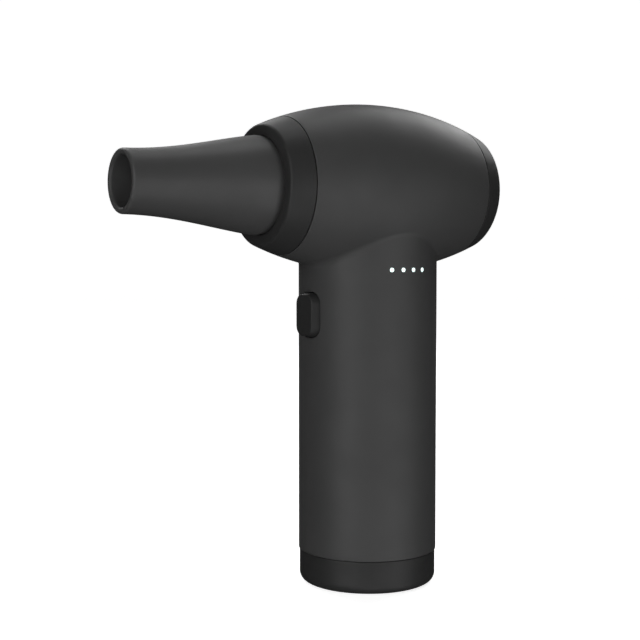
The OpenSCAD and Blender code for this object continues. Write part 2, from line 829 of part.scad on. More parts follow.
module motor_leads() {
  color("#303030") for (i = [-1 : 1]) {
    y = motor_lead_pitch * i;
    wire([
      [motor_lead_x, y, axis_h - 8.3], [motor_lead_x, y, board_z[1] - 3], [board_x - 2, y, board_z[1] - 3]
    ], 0.55);
  }
}

module rotor_shaft() {
  color("#b9bbbd") axis_tube(end_plate_x[0], impeller_x[1] + 2, shaft_r, 0);
}

module rotor_magnet() {
  color("#55585c") axis_tube(core_x[0], core_x[1], 4.2, shaft_r);
}

module impeller() {
  tip_r = duct_r - 0.3;
  color("#4a4a4a") difference() {
    union() {
      on_fan_axis() translate([0, 0, impeller_x[0]])
        cylinder(r1 = hub_r - 0.4, r2 = 5.5, h = impeller_x[1] - impeller_x[0]);
      intersection() {
        axis_tube(impeller_x[0], impeller_x[1], tip_r, 2);
        for (i = [1 : blade_count]) on_fan_axis() rotate([0, 0, i * 360 / blade_count])
          translate([0, 0, (impeller_x[0] + impeller_x[1]) / 2]) rotate([-38, 0, 0])
            translate([3, -0.5, -12]) cube([16, 1, 24]);
      }
    }
    axis_tube(impeller_x[0] - 1, impeller_x[1] + 1, shaft_r, 0);
  }
}

module impeller_nut() {
  color("#b9bbbd") difference() {
    axis_tube(impeller_x[1], impeller_x[1] + 3, 2.8, 0);
    axis_tube(impeller_x[1] - 1, impeller_x[1] + 2, shaft_r, 0);
  }
}

// ---- draws the chosen node ----

main_housing();
front_ring();
nozzle();
nozzle_seal();
rear_grille();
rear_cap_seal();
filter_foam();
filter_retainer();
bottom_cap();
bottom_cap_screws();
trigger_button();
trigger_switch();
switch_plunger();
light_guide();
light_board();
light_chips();
light_leads();
fan_duct();
duct_cushion_front();
duct_cushion_rear();
vane_carrier();
motor_core();
motor_windings();
motor_end_plate();
motor_board();
tail_cone();
bearing_front();
bearing_rear();
rotor_shaft();
rotor_magnet();
impeller();
impeller_nut();
motor_leads();
main_board();
power_chips();
capacitors();
lead_connector();
board_carrier();
battery_cell_1();
battery_cell_2();
battery_cell_3();
cell_spacer_lower();
cell_spacer_upper();
cell_strips_lower();
cell_strips_upper();
pack_insulator();
battery_leads();
charge_board();
charge_socket();
charge_leads();
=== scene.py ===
"""A cordless car dryer blower in a plain pale studio.

Every piece is built in the part's own frame, with +Z up the handle and the nozzle towards -X.
Shapes are worked out in millimetres and written to meshes in metres.
"""

import logging
import math
from dataclasses import dataclass, field
from enum import Enum

import bpy
import numpy as np
from mathutils import Matrix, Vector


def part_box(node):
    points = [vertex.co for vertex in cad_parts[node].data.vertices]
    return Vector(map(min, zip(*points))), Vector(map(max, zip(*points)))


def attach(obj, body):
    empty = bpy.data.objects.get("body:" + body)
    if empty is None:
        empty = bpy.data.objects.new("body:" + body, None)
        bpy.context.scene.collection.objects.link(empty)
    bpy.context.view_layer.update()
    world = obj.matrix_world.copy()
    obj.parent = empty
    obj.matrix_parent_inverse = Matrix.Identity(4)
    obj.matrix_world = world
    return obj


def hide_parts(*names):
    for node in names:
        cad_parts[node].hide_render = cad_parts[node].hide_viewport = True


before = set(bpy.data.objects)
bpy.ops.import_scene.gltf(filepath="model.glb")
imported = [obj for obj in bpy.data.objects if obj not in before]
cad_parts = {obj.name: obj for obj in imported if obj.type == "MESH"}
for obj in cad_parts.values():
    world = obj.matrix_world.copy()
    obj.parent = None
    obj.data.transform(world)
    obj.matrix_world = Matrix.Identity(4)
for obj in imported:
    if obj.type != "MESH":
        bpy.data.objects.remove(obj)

Array = np.ndarray
Point = tuple[float, float]
Tree = bpy.types.NodeTree
Socket = bpy.types.NodeSocket

LOG = logging.getLogger("blower")
MM = 0.001
WELD_PER_MM = 4000
WELD_SHIFT = 0.3719
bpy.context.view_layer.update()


class Axis(Enum):
    """The two centre lines that round pieces are turned about."""

    FAN = "fan"
    HANDLE = "handle"


class Body(str, Enum):
    """Rigid bodies of the model."""

    BLOWER = "blower"
    TRIGGER = "trigger"
    ROTOR = "rotor"
    NOZZLE = "nozzle"
    CAP = "filter_cap"


def node_box(name: str) -> tuple[Array, Array]:
    """Lowest and highest corner of a CAD node, in millimetres."""
    low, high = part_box(name)
    return np.array(low) / MM, np.array(high) / MM


@dataclass(frozen=True)
class Layout:
    """Main sizes in millimetres, read from the CAD nodes' boxes.

    The housing's box gives the barrel's largest radius and its two parting lines, the nozzle's box
    the height of the fan axis, and the bottom cap's box the handle's radius and parting line.
    """

    axis_z: float
    head_r: float
    seam_x: float
    handle_r: float
    cap_top: float
    mouth_x: float
    dome_x: float
    barrel_r: float = 108.0
    cap_step: float = 0.3
    wall: float = 2.2
    seam_gap: float = 0.2
    light_z: float = 104.4
    light_pitch: float = 4.0
    button_core: Point = (1.5, 3.5)
    button_corner_r: float = 3.7

    @staticmethod
    def read() -> "Layout":
        """Takes the sizes from the CAD nodes.

        Returns:
            The layout of this object.
        """
        housing = node_box("main_housing")
        nozzle = node_box("nozzle")
        cap = node_box("bottom_cap")
        return Layout(
            axis_z=float((nozzle[0][2] + nozzle[1][2]) / 2),
            head_r=float((housing[1][1] - housing[0][1]) / 2),
            seam_x=float(housing[1][0]),
            handle_r=float(cap[1][1]) + Layout.cap_step,
            cap_top=float(housing[0][2]) - Layout.seam_gap,
            mouth_x=float(nozzle[0][0]),
            dome_x=float(node_box("rear_grille")[1][0]),
        )

    @property
    def drop(self) -> float:
        """How far the centre of the barrel's arc lies beyond the fan axis."""
        return self.barrel_r - self.head_r

    def barrel(self, x: Array) -> Array:
        """Radius of the barrel at x, a long arc: sqrt(arc radius^2 - x^2) - drop."""
        return np.sqrt(self.barrel_r**2 - x**2) - self.drop


# ---------------------------------------------------------------- surfaces


def unit(v: Array) -> Array:
    """Scales vectors on the last axis to length 1."""
    return v / np.maximum(np.linalg.norm(v, axis=-1, keepdims=True), 1e-12)


def points(*rows: Point) -> Array:
    """Profile corners as an array of (along, radius)."""
    return np.array(rows, float)


def full_turn(steps: int) -> Array:
    """Angles of the given number of even steps round a circle, from 0."""
    return np.arange(steps) * 2 * np.pi / steps


def arc(centre: Point, radius: float, start: float, end: float, steps: int) -> Array:
    """Points of a circular arc in a profile's plane.

    Args:
        centre: Centre as (along, radius).
        radius: Radius of the arc.
        start: First angle in degrees, from the along direction towards larger radius.
        end: Last angle in degrees.
        steps: Number of steps.

    Returns:
        centre + radius * (cos a, sin a) for evenly spaced angles a.
    """
    a = np.radians(np.linspace(start, end, steps + 1))
    return np.column_stack([centre[0] + radius * np.cos(a), centre[1] + radius * np.sin(a)])


def turned(profile: Array, segments: int, axis: Axis, height: float = 0.0) -> Array:
    """Turns a profile about one of the centre lines.

    Args:
        profile: Rows of (along, radius).
        segments: Number of steps round.
        axis: Which centre line.
        height: Height of the fan axis. It is 0 for normals and for the handle.

    Returns:
        Grid of shape (rows, segments, 3): along the fan axis a point is (along, r cos a,
        height + r sin a), and along the handle it is (r cos a, r sin a, along).
    """
    a = full_turn(segments)
    along = np.repeat(profile[:, :1], segments, 1)
    first, second = profile[:, 1:] * np.cos(a), profile[:, 1:] * np.sin(a)
    if axis is Axis.FAN:
        return np.stack([along, first, height + second], -1)
    return np.stack([first, second, along], -1)


def on_cylinder(angle: Array, z: Array, radius: float) -> Array:
    """Points of an upright cylinder: (r cos a, r sin a, z)."""
    return np.stack([radius * np.cos(angle), radius * np.sin(angle), z], -1)


def polar_chart(radii: Array, columns: int) -> Array:
    """Grid of flat points (r cos a, r sin a), one row for each radius."""
    a = full_turn(columns)
    return np.stack([radii[:, None] * np.cos(a), radii[:, None] * np.sin(a)], -1)


def grid_faces(rows: int, cols: int, wrap_rows: bool = False, wrap_cols: bool = True) -> Array:
    """Quads between neighbouring points of a grid.

    Args:
        rows: Number of rows.
        cols: Number of columns.
        wrap_rows: Whether the last row joins the first.
        wrap_cols: Whether the last column joins the first.

    Returns:
        Index rows of shape (faces, 4), in the order of the grid's cells.
    """
    last_row, last_col = (rows if wrap_rows else rows - 1), (cols if wrap_cols else cols - 1)
    i, j = np.meshgrid(np.arange(last_row), np.arange(last_col), indexing="ij")
    i, j = i.ravel(), j.ravel()
    i1, j1 = (i + 1) % rows, (j + 1) % cols
    return np.column_stack([i * cols + j, i1 * cols + j, i1 * cols + j1, i * cols + j1])


def signed_volume(verts: Array, quads: Array) -> float:
    """Volume inside quads, positive when they face outwards: the sum of a . (b x c) / 6."""
    a, b, c, d = (verts[quads[:, k]] for k in range(4))
    return float(np.einsum("ij,ij->", a, np.cross(b, c) + np.cross(c, d)) / 6)


def weld(verts: Array) -> tuple[Array, Array]:
    """Finds the points that coincide, as those in the same cell of a very fine lattice.

    The lattice is shifted by an odd part of a cell, so that round sizes keep off its walls.

    Args:
        verts: Points of shape (n, 3).

    Returns:
        The index of the first point of each cell, and for each point the place of its cell.
    """
    cells = np.floor(verts * WELD_PER_MM + WELD_SHIFT).astype(np.int64)
    _, first, index = np.unique(cells, axis=0, return_index=True, return_inverse=True)
    return first, index.reshape(-1)


def open_edges(quads: Array, count: int) -> tuple[Array, Array]:
    """Edges that only one quad uses.

    Args:
        quads: Index rows, in which a corner may come twice.
        count: Number of points.

    Returns:
        Start and end points, in the direction of the quads.
    """
    starts, ends = quads.ravel(), np.roll(quads, -1, axis=1).ravel()
    real = starts != ends
    starts, ends = starts[real], ends[real]
    edge = np.minimum(starts, ends) * count + np.maximum(starts, ends)
    _, which, uses = np.unique(edge, return_inverse=True, return_counts=True)
    rim = uses[which.reshape(-1)] == 1
    return starts[rim], ends[rim]


@dataclass
class Form:
    """Vertices and quads of a piece being built, in millimetres."""

    verts: list[Array] = field(default_factory=list)
    quads: list[Array] = field(default_factory=list)
    count: int = 0

    def add(self, verts: Array, quads: Array) -> None:
        """Adds vertices and the quads between them.

        Args:
            verts: Points of shape (..., 3).
            quads: Index rows into those points.
        """
        self.verts.append(verts.reshape(-1, 3))
        self.quads.append(quads + self.count)
        self.count += len(self.verts[-1])

    def add_closed(self, grid: Array, wrap_rows: bool = False) -> None:
        """Adds a closed surface whose columns wrap, turned to face outwards.

        Args:
            grid: Points of shape (rows, cols, 3).
            wrap_rows: Whether the last row joins the first, as on a ring. Otherwise the first and
                last rows have shrunk to a point or a line, and close the surface there.
        """
        quads = grid_faces(*grid.shape[:2], wrap_rows)
        if signed_volume(grid.reshape(-1, 3), quads) < 0:
            quads = quads[:, ::-1]
        self.add(grid, quads)

    def mesh(self, name: str, sharp: float) -> bpy.types.Mesh:
        """Welds the points that coincide and writes the mesh.

        Quads that lose a corner in the weld become triangles, and those with two corners go.

        Args:
            name: Mesh name.
            sharp: Edges that turn by more than this angle in degrees are shaded sharp.

        Returns:
            The new mesh, in metres.
        """
        verts = np.vstack(self.verts)
        first, index = weld(verts)
        quads = index[np.vstack(self.quads)]
        kept = quads != np.roll(quads, -1, axis=1)
        short = kept.sum(1) == 3
        faces = quads[kept.all(1)].tolist() + quads[short][kept[short]].reshape(-1, 3).tolist()
        mesh = bpy.data.meshes.new(name)
        mesh.from_pydata((verts[first] * MM).tolist(), [], faces)
        mesh.validate()
        mesh.shade_smooth()
        mesh.set_sharp_from_angle(angle=math.radians(sharp))
        return mesh


@dataclass
class Skin:
    """Patches of an outer surface with their inner side, made into one closed wall.

    Each point has its place outside, its place inside and its outward normal. Patches meet at
    points that coincide. Every edge that only one quad uses becomes a rim: a small rounding, then
    the wall's edge, then the inner side.
    """

    edge: float
    outer: list[Array] = field(default_factory=list)
    inner: list[Array] = field(default_factory=list)
    normal: list[Array] = field(default_factory=list)
    quads: list[Array] = field(default_factory=list)
    count: int = 0

    def add(
        self,
        outer: Array,
        inner: Array,
        normal: Array,
        keep: Array | None = None,
        wrap_cols: bool = True,
    ) -> None:
        """Adds a patch.

        Args:
            outer: Points outside, of shape (rows, cols, 3).
            inner: The matching points inside.
            normal: The matching outward normals.
            keep: Cells that are left. All are when it is missing.
            wrap_cols: Whether the last column joins the first.
        """
        quads = grid_faces(*outer.shape[:2], wrap_cols=wrap_cols)
        if keep is not None:
            quads = quads[keep.ravel()]
        outer, inner, normal = (v.reshape(-1, 3) for v in (outer, inner, normal))
        a, b, c, d = (outer[quads[:, k]] for k in range(4))
        inward = np.einsum("ij,ij->i", np.cross(c - a, d - b), normal[quads[:, 0]]) < 0
        self.outer.append(outer)
        self.inner.append(inner)
        self.normal.append(normal)
        self.quads.append(np.where(inward[:, None], quads[:, ::-1], quads) + self.count)
        self.count += len(outer)

    def close(self, form: Form) -> None:
        """Welds the patches, gives every opening its rim, and adds the wall to a form.

        The rounding of a rim runs from the surface's last point P through
        P + e sin(a) t - e (1 - cos a) n, where t points out of the surface and n is the normal.

        Args:
            form: The form that takes the wall.
        """
        first, index = weld(np.vstack(self.outer))
        outer, inner, normal = (np.vstack(v)[first] for v in (self.outer, self.inner, self.normal))
        quads = index[np.vstack(self.quads)]
        n = len(outer)
        starts, ends = open_edges(quads, n)
        out = unit(np.cross(outer[ends] - outer[starts], normal[starts] + normal[ends]))
        total = np.zeros_like(outer)
        np.add.at(total, starts, out)
        np.add.at(total, ends, out)
        rim = np.unique(starts)
        across, up = total[rim], normal[rim]
        tangent = unit(across - np.einsum("ij,ij->i", across, up)[:, None] * up)
        rings = [
            outer[rim] + self.edge * (math.sin(a) * tangent - (1 - math.cos(a)) * up)
            for a in np.radians([30, 60, 90])
        ]
        rings.append(inner[rim] + self.edge * tangent)
        slot = np.zeros(n, int)
        slot[rim] = np.arange(len(rim))
        chain = [np.arange(n), *(2 * n + k * len(rim) + slot for k in range(4)), np.arange(n) + n]
        strips = [
            np.column_stack([near[ends], near[starts], far[starts], far[ends]])
            for near, far in zip(chain[:-1], chain[1:])
        ]
        form.add(np.vstack([outer, inner, *rings]), np.vstack([quads, quads[:, ::-1] + n, *strips]))


@dataclass(frozen=True)
class Opening:
    """A hole in a surface's flat chart: a rectangle grown by a radius.

    The rectangle has the half width core and the half length half_length, which lies along a
    direction. With a core of 0 the hole has round ends, and with no length either it is a circle.
    """

    centre: Point
    radius: float
    half_length: float = 0.0
    along: Point = (0.0, 1.0)
    core: float = 0.0

    def reach(self, direction: Array) -> Array:
        """Distance from the centre to the outline.

        Args:
            direction: Unit vectors in the chart, of shape (n, 2).

        Returns:
            The straight side is met at (core + a) / |across| and the straight end at
            (l + a) / |along|. Elsewhere the corner's circle about c = (core, l) is met at
            d.c + sqrt((d.c)^2 - |c|^2 + a^2).
        """
        along = np.array(self.along)
        across = np.array([along[1], -along[0]])
        u, v = np.abs(direction @ across), np.abs(direction @ along)
        side = (self.core + self.radius) / np.maximum(u, 1e-9)
        end = (self.half_length + self.radius) / np.maximum(v, 1e-9)
        dot = self.core * u + self.half_length * v
        square = dot**2 - self.core**2 - self.half_length**2 + self.radius**2
        corner = dot + np.sqrt(np.maximum(square, 0.0))
        reach = np.where(side * v <= self.half_length, side, corner)
        return np.where(end * u <= self.core, np.minimum(end, side), reach)


def cut_block(keep: Array, rows: tuple[int, int], cols: tuple[int, int]) -> tuple[Array, Array]:
    """Leaves a block of cells out of a grid whose columns wrap.

    Args:
        keep: Cells of the grid, marked False where the block is.
        rows: First and last row of the block's outline.
        cols: First and last column, which may be below 0.

    Returns:
        Rows and columns of the points round the block, in order.
    """
    (r0, r1), (c0, c1) = rows, cols
    keep[r0:r1, np.arange(c0, c1) % keep.shape[1]] = False
    down, up = np.arange(r0, r1), np.arange(r1, r0, -1)
    right, left = np.arange(c0, c1), np.arange(c1, c0, -1)
    row = np.concatenate([down, np.full(c1 - c0, r1), up, np.full(c1 - c0, r0)])
    col = np.concatenate([np.full(r1 - r0, c0), right, np.full(r1 - r0, c1), left])
    return row, col


def ringed(outline: Array, opening: Opening, steps: int) -> Array:
    """Chart points between a block's outline and the opening inside it.

    Args:
        outline: Chart points of the block's outline, of shape (n, 2).
        opening: The opening.
        steps: Number of steps from the outline to the opening.

    Returns:
        Points of shape (steps + 1, n, 2): each runs straight from the outline to the point of the
        opening that lies in the same direction from its centre.
    """
    centre = np.array(opening.centre)
    direction = unit(outline - centre)
    hole = centre + direction * opening.reach(direction)[:, None]
    s = np.linspace(0, 1, steps + 1)[:, None, None]
    return outline * (1 - s) + hole * s


def rounded(corners: Array, radii: Array, steps: int = 5) -> Array:
    """Rounds the corners of a profile.

    Each corner P between its neighbours is replaced by the arc that touches both sides at the
    distance r / tan(half the corner's angle) from P. A radius of 0 keeps the corner.

    Args:
        corners: Rows of (along, radius), joined in order and back to the first.
        radii: Rounding of each corner.
        steps: Steps of each arc.

    Returns:
        The rounded closed profile.
    """
    before = unit(np.roll(corners, 1, axis=0) - corners)
    after = unit(np.roll(corners, -1, axis=0) - corners)
    s = np.linspace(0, 1, steps + 1)[:, None]
    rows = []
    for p, u, v, r in zip(corners, before, after, radii):
        if r == 0:
            rows.append(p[None])
            continue
        half = math.acos(float(np.clip(u @ v, -1, 1))) / 2
        centre = p + unit(u + v) * r / math.sin(half)
        first = unit(p + u * r / math.tan(half) - centre)
        last = unit(p + v * r / math.tan(half) - centre)
        turn = math.pi - 2 * half
        way = (np.sin((1 - s) * turn) * first + np.sin(s * turn) * last) / math.sin(turn)
        rows.append(centre + r * way)
    return np.vstack(rows)


def closed_profile(*parts: tuple[Array, float]) -> Array:
    """Joins curves and corners into one closed profile.

    Args:
        parts: Pairs of points and the rounding given to each of them.

    Returns:
        The rounded profile.
    """
    radii = np.concatenate([np.full(len(p), r) for p, r in parts])
    return rounded(np.vstack([p for p, _ in parts]), radii)


# ---------------------------------------------------------------- finishes


def linear(code: str) -> tuple[float, float, float, float]:
    """Turns an sRGB hex colour into linear values with alpha 1.

    Args:
        code: Colour as #rrggbb.

    Returns:
        Red, green, blue and alpha.
    """
    srgb = np.array([int(code[i : i + 2], 16) for i in (1, 3, 5)]) / 255
    rgb = np.where(srgb <= 0.04045, srgb / 12.92, ((srgb + 0.055) / 1.055) ** 2.4)
    return (*(float(c) for c in rgb), 1.0)


def add_node(tree: Tree, kind: str, inputs: dict, **settings: object) -> bpy.types.Node:
    """Adds a shader node with its settings, values and links.

    Args:
        tree: Node tree of the material.
        kind: Node type.
        inputs: Socket name or number to a value, or to the output socket that feeds it.
        settings: Properties of the node.

    Returns:
        The new node.
    """
    made = tree.nodes.new(kind)
    for key, value in settings.items():
        setattr(made, key, value)
    for key, value in inputs.items():
        if isinstance(value, Socket):
            tree.links.new(value, made.inputs[key])
        else:
            made.inputs[key].default_value = value
    return made


@dataclass(frozen=True)
class Finish:
    """A moulded or coated surface with a fine grain.

    The grain is a noise of the given size that lifts the surface by a few microns, and a slower
    noise shifts the colour and the roughness a little, as on any moulding.
    """

    name: str
    slot: str
    colour: str
    shade: str
    roughness: float
    grain_mm: float = 0.3
    grain_height_mm: float = 0.006
    patch_mm: float = 14.0
    specular: float = 0.5
    ior: float = 1.5
    metallic: float = 0.0
    roughness_spread: float = 0.05
    bump: float = 0.6
    colour_band: Point = (0.35, 0.65)
    roughness_band: Point = (0.3, 0.7)

    def material(self) -> bpy.types.Material:
        """Makes the material, or finds the one already made.

        Returns:
            The material.
        """
        if self.name in bpy.data.materials:
            return bpy.data.materials[self.name]
        material = bpy.data.materials.new(self.name)
        material.use_nodes = True
        material.diffuse_color = linear(self.colour)
        tree = material.node_tree
        tree.nodes.clear()
        fixed = {"Metallic": self.metallic, "IOR": self.ior, "Specular IOR Level": self.specular}
        shader = add_node(tree, "ShaderNodeBsdfPrincipled", fixed)
        place = add_node(tree, "ShaderNodeTexCoord", {}).outputs["Object"]
        self.dress(tree, shader, place)
        add_node(tree, "ShaderNodeOutputMaterial", {"Surface": shader.outputs["BSDF"]})
        return material

    def dress(self, tree: Tree, shader: bpy.types.Node, place: Socket) -> None:
        """Feeds the pattern into the shader.

        The colour factor mixes the two shades across a band, the roughness factor moves the
        roughness up and down by its spread, and the height lifts the surface.

        Args:
            tree: Node tree.
            shader: Principled shader.
            place: Object coordinates.
        """
        colour, roughness, height = self.pattern(tree, place)
        ramp = add_node(tree, "ShaderNodeValToRGB", {"Fac": colour})
        low, high = ramp.color_ramp.elements
        low.position, high.position = self.colour_band
        low.color, high.color = linear(self.colour), linear(self.shade)
        spread = {
            "Value": roughness,
            "From Min": self.roughness_band[0],
            "From Max": self.roughness_band[1],
            "To Min": self.roughness - self.roughness_spread,
            "To Max": self.roughness + self.roughness_spread,
        }
        level = add_node(tree, "ShaderNodeMapRange", spread)
        rise = {"Height": height, "Distance": self.grain_height_mm * MM, "Strength": self.bump}
        bump = add_node(tree, "ShaderNodeBump", rise)
        tree.links.new(ramp.outputs["Color"], shader.inputs["Base Color"])
        tree.links.new(level.outputs["Result"], shader.inputs["Roughness"])
        tree.links.new(bump.outputs["Normal"], shader.inputs["Normal"])

    def pattern(self, tree: Tree, place: Socket) -> tuple[Socket, Socket, Socket]:
        """Factors for the colour and the roughness, and the height: slow and fine noise."""
        patch = self.noise(tree, place, self.patch_mm, 2)
        return patch, patch, self.noise(tree, place, self.grain_mm, 3)

    def noise(self, tree: Tree, place: Socket, size_mm: float, detail: float) -> Socket:
        """Noise whose features are size_mm across, with the given octaves of finer noise."""
        inputs = {"Vector": place, "Scale": 1 / (size_mm * MM), "Detail": detail, "Roughness": 0.55}
        return add_node(tree, "ShaderNodeTexNoise", inputs).outputs["Fac"]

    def cells(self, tree: Tree, place: Socket, **settings: object) -> Socket:
        """Distance to the nearest of scattered points that lie about grain_mm apart."""
        inputs = {"Vector": place, "Scale": 1 / (self.grain_mm * MM)}
        return add_node(tree, "ShaderNodeTexVoronoi", inputs, **settings).outputs["Distance"]


@dataclass(frozen=True)
class Glow(Finish):
    """A clear lens lit from behind. The emission is even, so it is set on the shader itself."""

    strength: float = 6.0

    def dress(self, tree: Tree, shader: bpy.types.Node, place: Socket) -> None:
        """Adds the even glow to the moulded surface.

        Args:
            tree: Node tree.
            shader: Principled shader.
            place: Object coordinates.
        """
        super().dress(tree, shader, place)
        shader.inputs["Emission Color"].default_value = linear(self.colour)
        shader.inputs["Emission Strength"].default_value = self.strength


@dataclass(frozen=True)
class Brushed(Finish):
    """Metal with fine drawn lines: noise stretched along one axis by the given ratio."""

    stretch: tuple[float, float, float] = (1.0, 1.0, 12.0)

    def pattern(self, tree: Tree, place: Socket) -> tuple[Socket, Socket, Socket]:
        """The drawn lines, in colour, roughness and height alike."""
        scaled = add_node(tree, "ShaderNodeMapping", {"Vector": place, "Scale": self.stretch})
        return (self.noise(tree, scaled.outputs["Vector"], self.grain_mm, 2),) * 3


@dataclass(frozen=True)
class Foam(Finish):
    """Open-cell foam: cells whose walls are light and whose pores are sunk, with painted shade
    darkening the pores.
    """

    def pattern(self, tree: Tree, place: Socket) -> tuple[Socket, Socket, Socket]:
        """The pores, in colour, roughness and height alike: the darker colour in them is painted
        shade in the holes.
        """
        return (self.cells(tree, place),) * 3


@dataclass(frozen=True)
class Wound(Finish):
    """Enamelled wire wound in turns: bands one wire apart along the fan axis."""

    def pattern(self, tree: Tree, place: Socket) -> tuple[Socket, Socket, Socket]:
        """The turns, as bands. A band texture of scale s repeats every 2 pi / (20 s).

        Args:
            tree: Node tree.
            place: Object coordinates.

        Returns:
            Colour factor, roughness factor and height.
        """
        scale = 2 * math.pi / (20 * self.grain_mm * MM)
        inputs = {"Vector": place, "Scale": scale, "Distortion": 0.4}
        band = add_node(tree, "ShaderNodeTexWave", inputs).outputs["Fac"]
        return band, self.noise(tree, place, self.patch_mm, 2), band


@dataclass(frozen=True)
class Board(Finish):
    """A circuit board's solder mask over copper: the borders of square cells stand for tracks."""

    def pattern(self, tree: Tree, place: Socket) -> tuple[Socket, Socket, Socket]:
        """The tracks in colour and height, with slow noise in the roughness."""
        tracks = self.cells(tree, place, distance="MANHATTAN", feature="F1")
        return tracks, self.noise(tree, place, self.patch_mm, 2), tracks


# Soft-touch coating sprayed on ABS: dead matt and dark grey, with a faint orange peel, drawn a
# few times coarser than the real one so that it shows.
SOFT_TOUCH = Finish(
    "soft_touch_coated_abs", "housing", "#424242", "#3f3f3f", 0.48, 0.7, 0.004, 22.0, 0.22
)
SOFT_TOUCH_NOZZLE = Finish(
    "soft_touch_coated_nozzle", "nozzle_shell", "#454545", "#424242", 0.45, 0.7, 0.004, 18.0, 0.22
)
# Spark-eroded ABS: darker, with a fine dry texture straight from the mould.
ERODED_ABS = Finish(
    "spark_eroded_abs", "trim", "#2e2e2e", "#2b2b2b", 0.45, 0.32, 0.008, 12.0, 0.2
)
# Silicone over a hard key: the darkest part, with a powdery surface.
SILICONE = Finish("silicone_key", "button", "#2d2d2d", "#2a2a2a", 0.5, 0.3, 0.004, 9.0, 0.2)
# Polycarbonate light pipe, lit cold white: it shows as an even bright spot.
LIT_PIPE = Glow(
    "lit_polycarbonate", "light_lens", "#e9fffb", "#defaf6", 0.25, 0.5, 0.001, 5.0,
    ior=1.58, strength=1.0,
)
# Nitrile rubber: nearly black, with a low satin sheen.
NITRILE = Finish("nitrile_rubber", "seal_rubber", "#1b1b1b", "#202020", 0.45, 0.25, 0.006, 4.0, 0.4)
# Open-cell polyurethane: no gloss at all, and pores that read as black dots; the dark second colour
# #1c1d1f is painted shade in the pores.
POLYURETHANE = Foam(
    "open_cell_polyurethane", "foam", "#3f4144", "#1c1d1f", 0.95, 0.8, -0.5,
    specular=0.1, bump=1.0,
)
# Inner mouldings: plain black ABS, and nylon that its glass fibres make greyer and mottled.
INNER_ABS = Finish(
    "moulded_black_abs", "inner_plastic", "#333333", "#2e2e2e", 0.5, 0.35, 0.01, 10.0, 0.4
)
GLASS_NYLON = Finish(
    "glass_filled_nylon", "fan_plastic", "#3d3d3d", "#363636", 0.42, 0.6, 0.008, 6.0, 0.45
)
# Steels and other metals: zinc plate is dull and bluish, ground steel bright with hair lines,
# nickel warmer, cast aluminium grey and pitted, and brass yellow with the marks of the lathe.
ZINC_STEEL = Brushed(
    "zinc_plated_steel", "screw_steel", "#9b9da0", "#85878a", 0.35, 0.12, 0.002, metallic=1.0
)
GROUND_STEEL = Brushed(
    "ground_steel", "bearing_steel", "#b9bbbe", "#a6a8ab", 0.25, 0.1, 0.001, metallic=1.0
)
SOCKET_STEEL = Brushed(
    "nickel_plated_socket", "socket_steel", "#a4a6a8", "#8c8e90", 0.3, 0.15, 0.001, metallic=1.0
)
NICKEL = Brushed(
    "nickel_strip", "nickel", "#b8b6ae", "#a3a199", 0.35, 0.2, 0.002,
    metallic=1.0, stretch=(1, 12, 1),
)
CAST_ALUMINIUM = Finish(
    "cast_aluminium", "cast_aluminium", "#a3a5a8", "#94969a", 0.4, 0.5, 0.01, 6.0, metallic=1.0
)
BRASS = Brushed(
    "brass_plunger", "switch_brass", "#c8ac62", "#b09448", 0.35, 0.2, 0.002, metallic=1.0
)
# Stacked sheets of steel, and the coils of lacquered copper: both show fine even bands.
LAMINATION = Wound(
    "laminated_steel", "motor_steel", "#6a6d72", "#4c4f54", 0.45, 0.35, 0.02, 6.0, metallic=1.0
)
COPPER_WIRE = Wound(
    "enamelled_copper_wire", "copper", "#b8672e", "#7a3d17", 0.3, 0.45, 0.08, 6.0, metallic=1.0
)
# Electronics: green solder mask with paler tracks, the yellow phosphor of white chips, epoxy.
SOLDER_MASK = Board(
    "green_solder_mask", "circuit_board", "#1e5a38", "#2f7a4c", 0.35, 1.6, 0.02, 8.0
)
PHOSPHOR = Finish("phosphor_cap", "light_chip", "#f0e9b8", "#e6dca0", 0.5, 0.2, 0.005, 2.0)
EPOXY = Finish("black_epoxy_chip", "chip_black", "#1d1d1e", "#232324", 0.5, 0.15, 0.006, 3.0)
# Wire covers, sleeves and wraps: soft vinyl, which has a slight gloss, and matt natural nylon.
PVC_RED = Finish("red_pvc_wire", "wire_cover", "#a52424", "#921d1d", 0.45, 0.4, 0.006, 5.0)
SLEEVE = Finish("printed_pvc_sleeve", "capacitor_can", "#26262c", "#303038", 0.35, 0.6, 0.004, 5.0)
NYLON_WHITE = Finish(
    "natural_nylon", "connector_white", "#dedac9", "#d2cebc", 0.45, 0.3, 0.005, 3.0
)
SHRINK_WRAP = Finish("blue_shrink_wrap", "cell_wrap", "#2c6d9c", "#265f8a", 0.28, 2.5, 0.03, 12.0)
# Pressed cotton fibre board: dry and quite without gloss.
FISH_PAPER = Finish(
    "vulcanised_fibre", "insulator_card", "#1f4f7c", "#2a5f8f", 0.8, 0.25, 0.01, 5.0, 0.2
)

CARRIED = (
    (NITRILE, "nozzle_seal rear_cap_seal duct_cushion_front duct_cushion_rear"),
    (INNER_ABS, "filter_retainer fan_duct board_carrier cell_spacer_lower cell_spacer_upper"),
    (ZINC_STEEL, "bottom_cap_screws"),
    (EPOXY, "trigger_switch power_chips"),
    (BRASS, "switch_plunger"),
    (SOLDER_MASK, "light_board motor_board main_board charge_board"),
    (PHOSPHOR, "light_chips"),
    (PVC_RED, "light_leads motor_leads battery_leads charge_leads"),
    (LAMINATION, "motor_core rotor_magnet"),
    (COPPER_WIRE, "motor_windings"),
    (CAST_ALUMINIUM, "motor_end_plate"),
    (GROUND_STEEL, "bearing_front bearing_rear rotor_shaft impeller_nut"),
    (SLEEVE, "capacitors"),
    (NYLON_WHITE, "lead_connector"),
    (SHRINK_WRAP, "battery_cell_1 battery_cell_2 battery_cell_3"),
    (NICKEL, "cell_strips_lower cell_strips_upper"),
    (FISH_PAPER, "pack_insulator"),
    (SOCKET_STEEL, "charge_socket"),
)


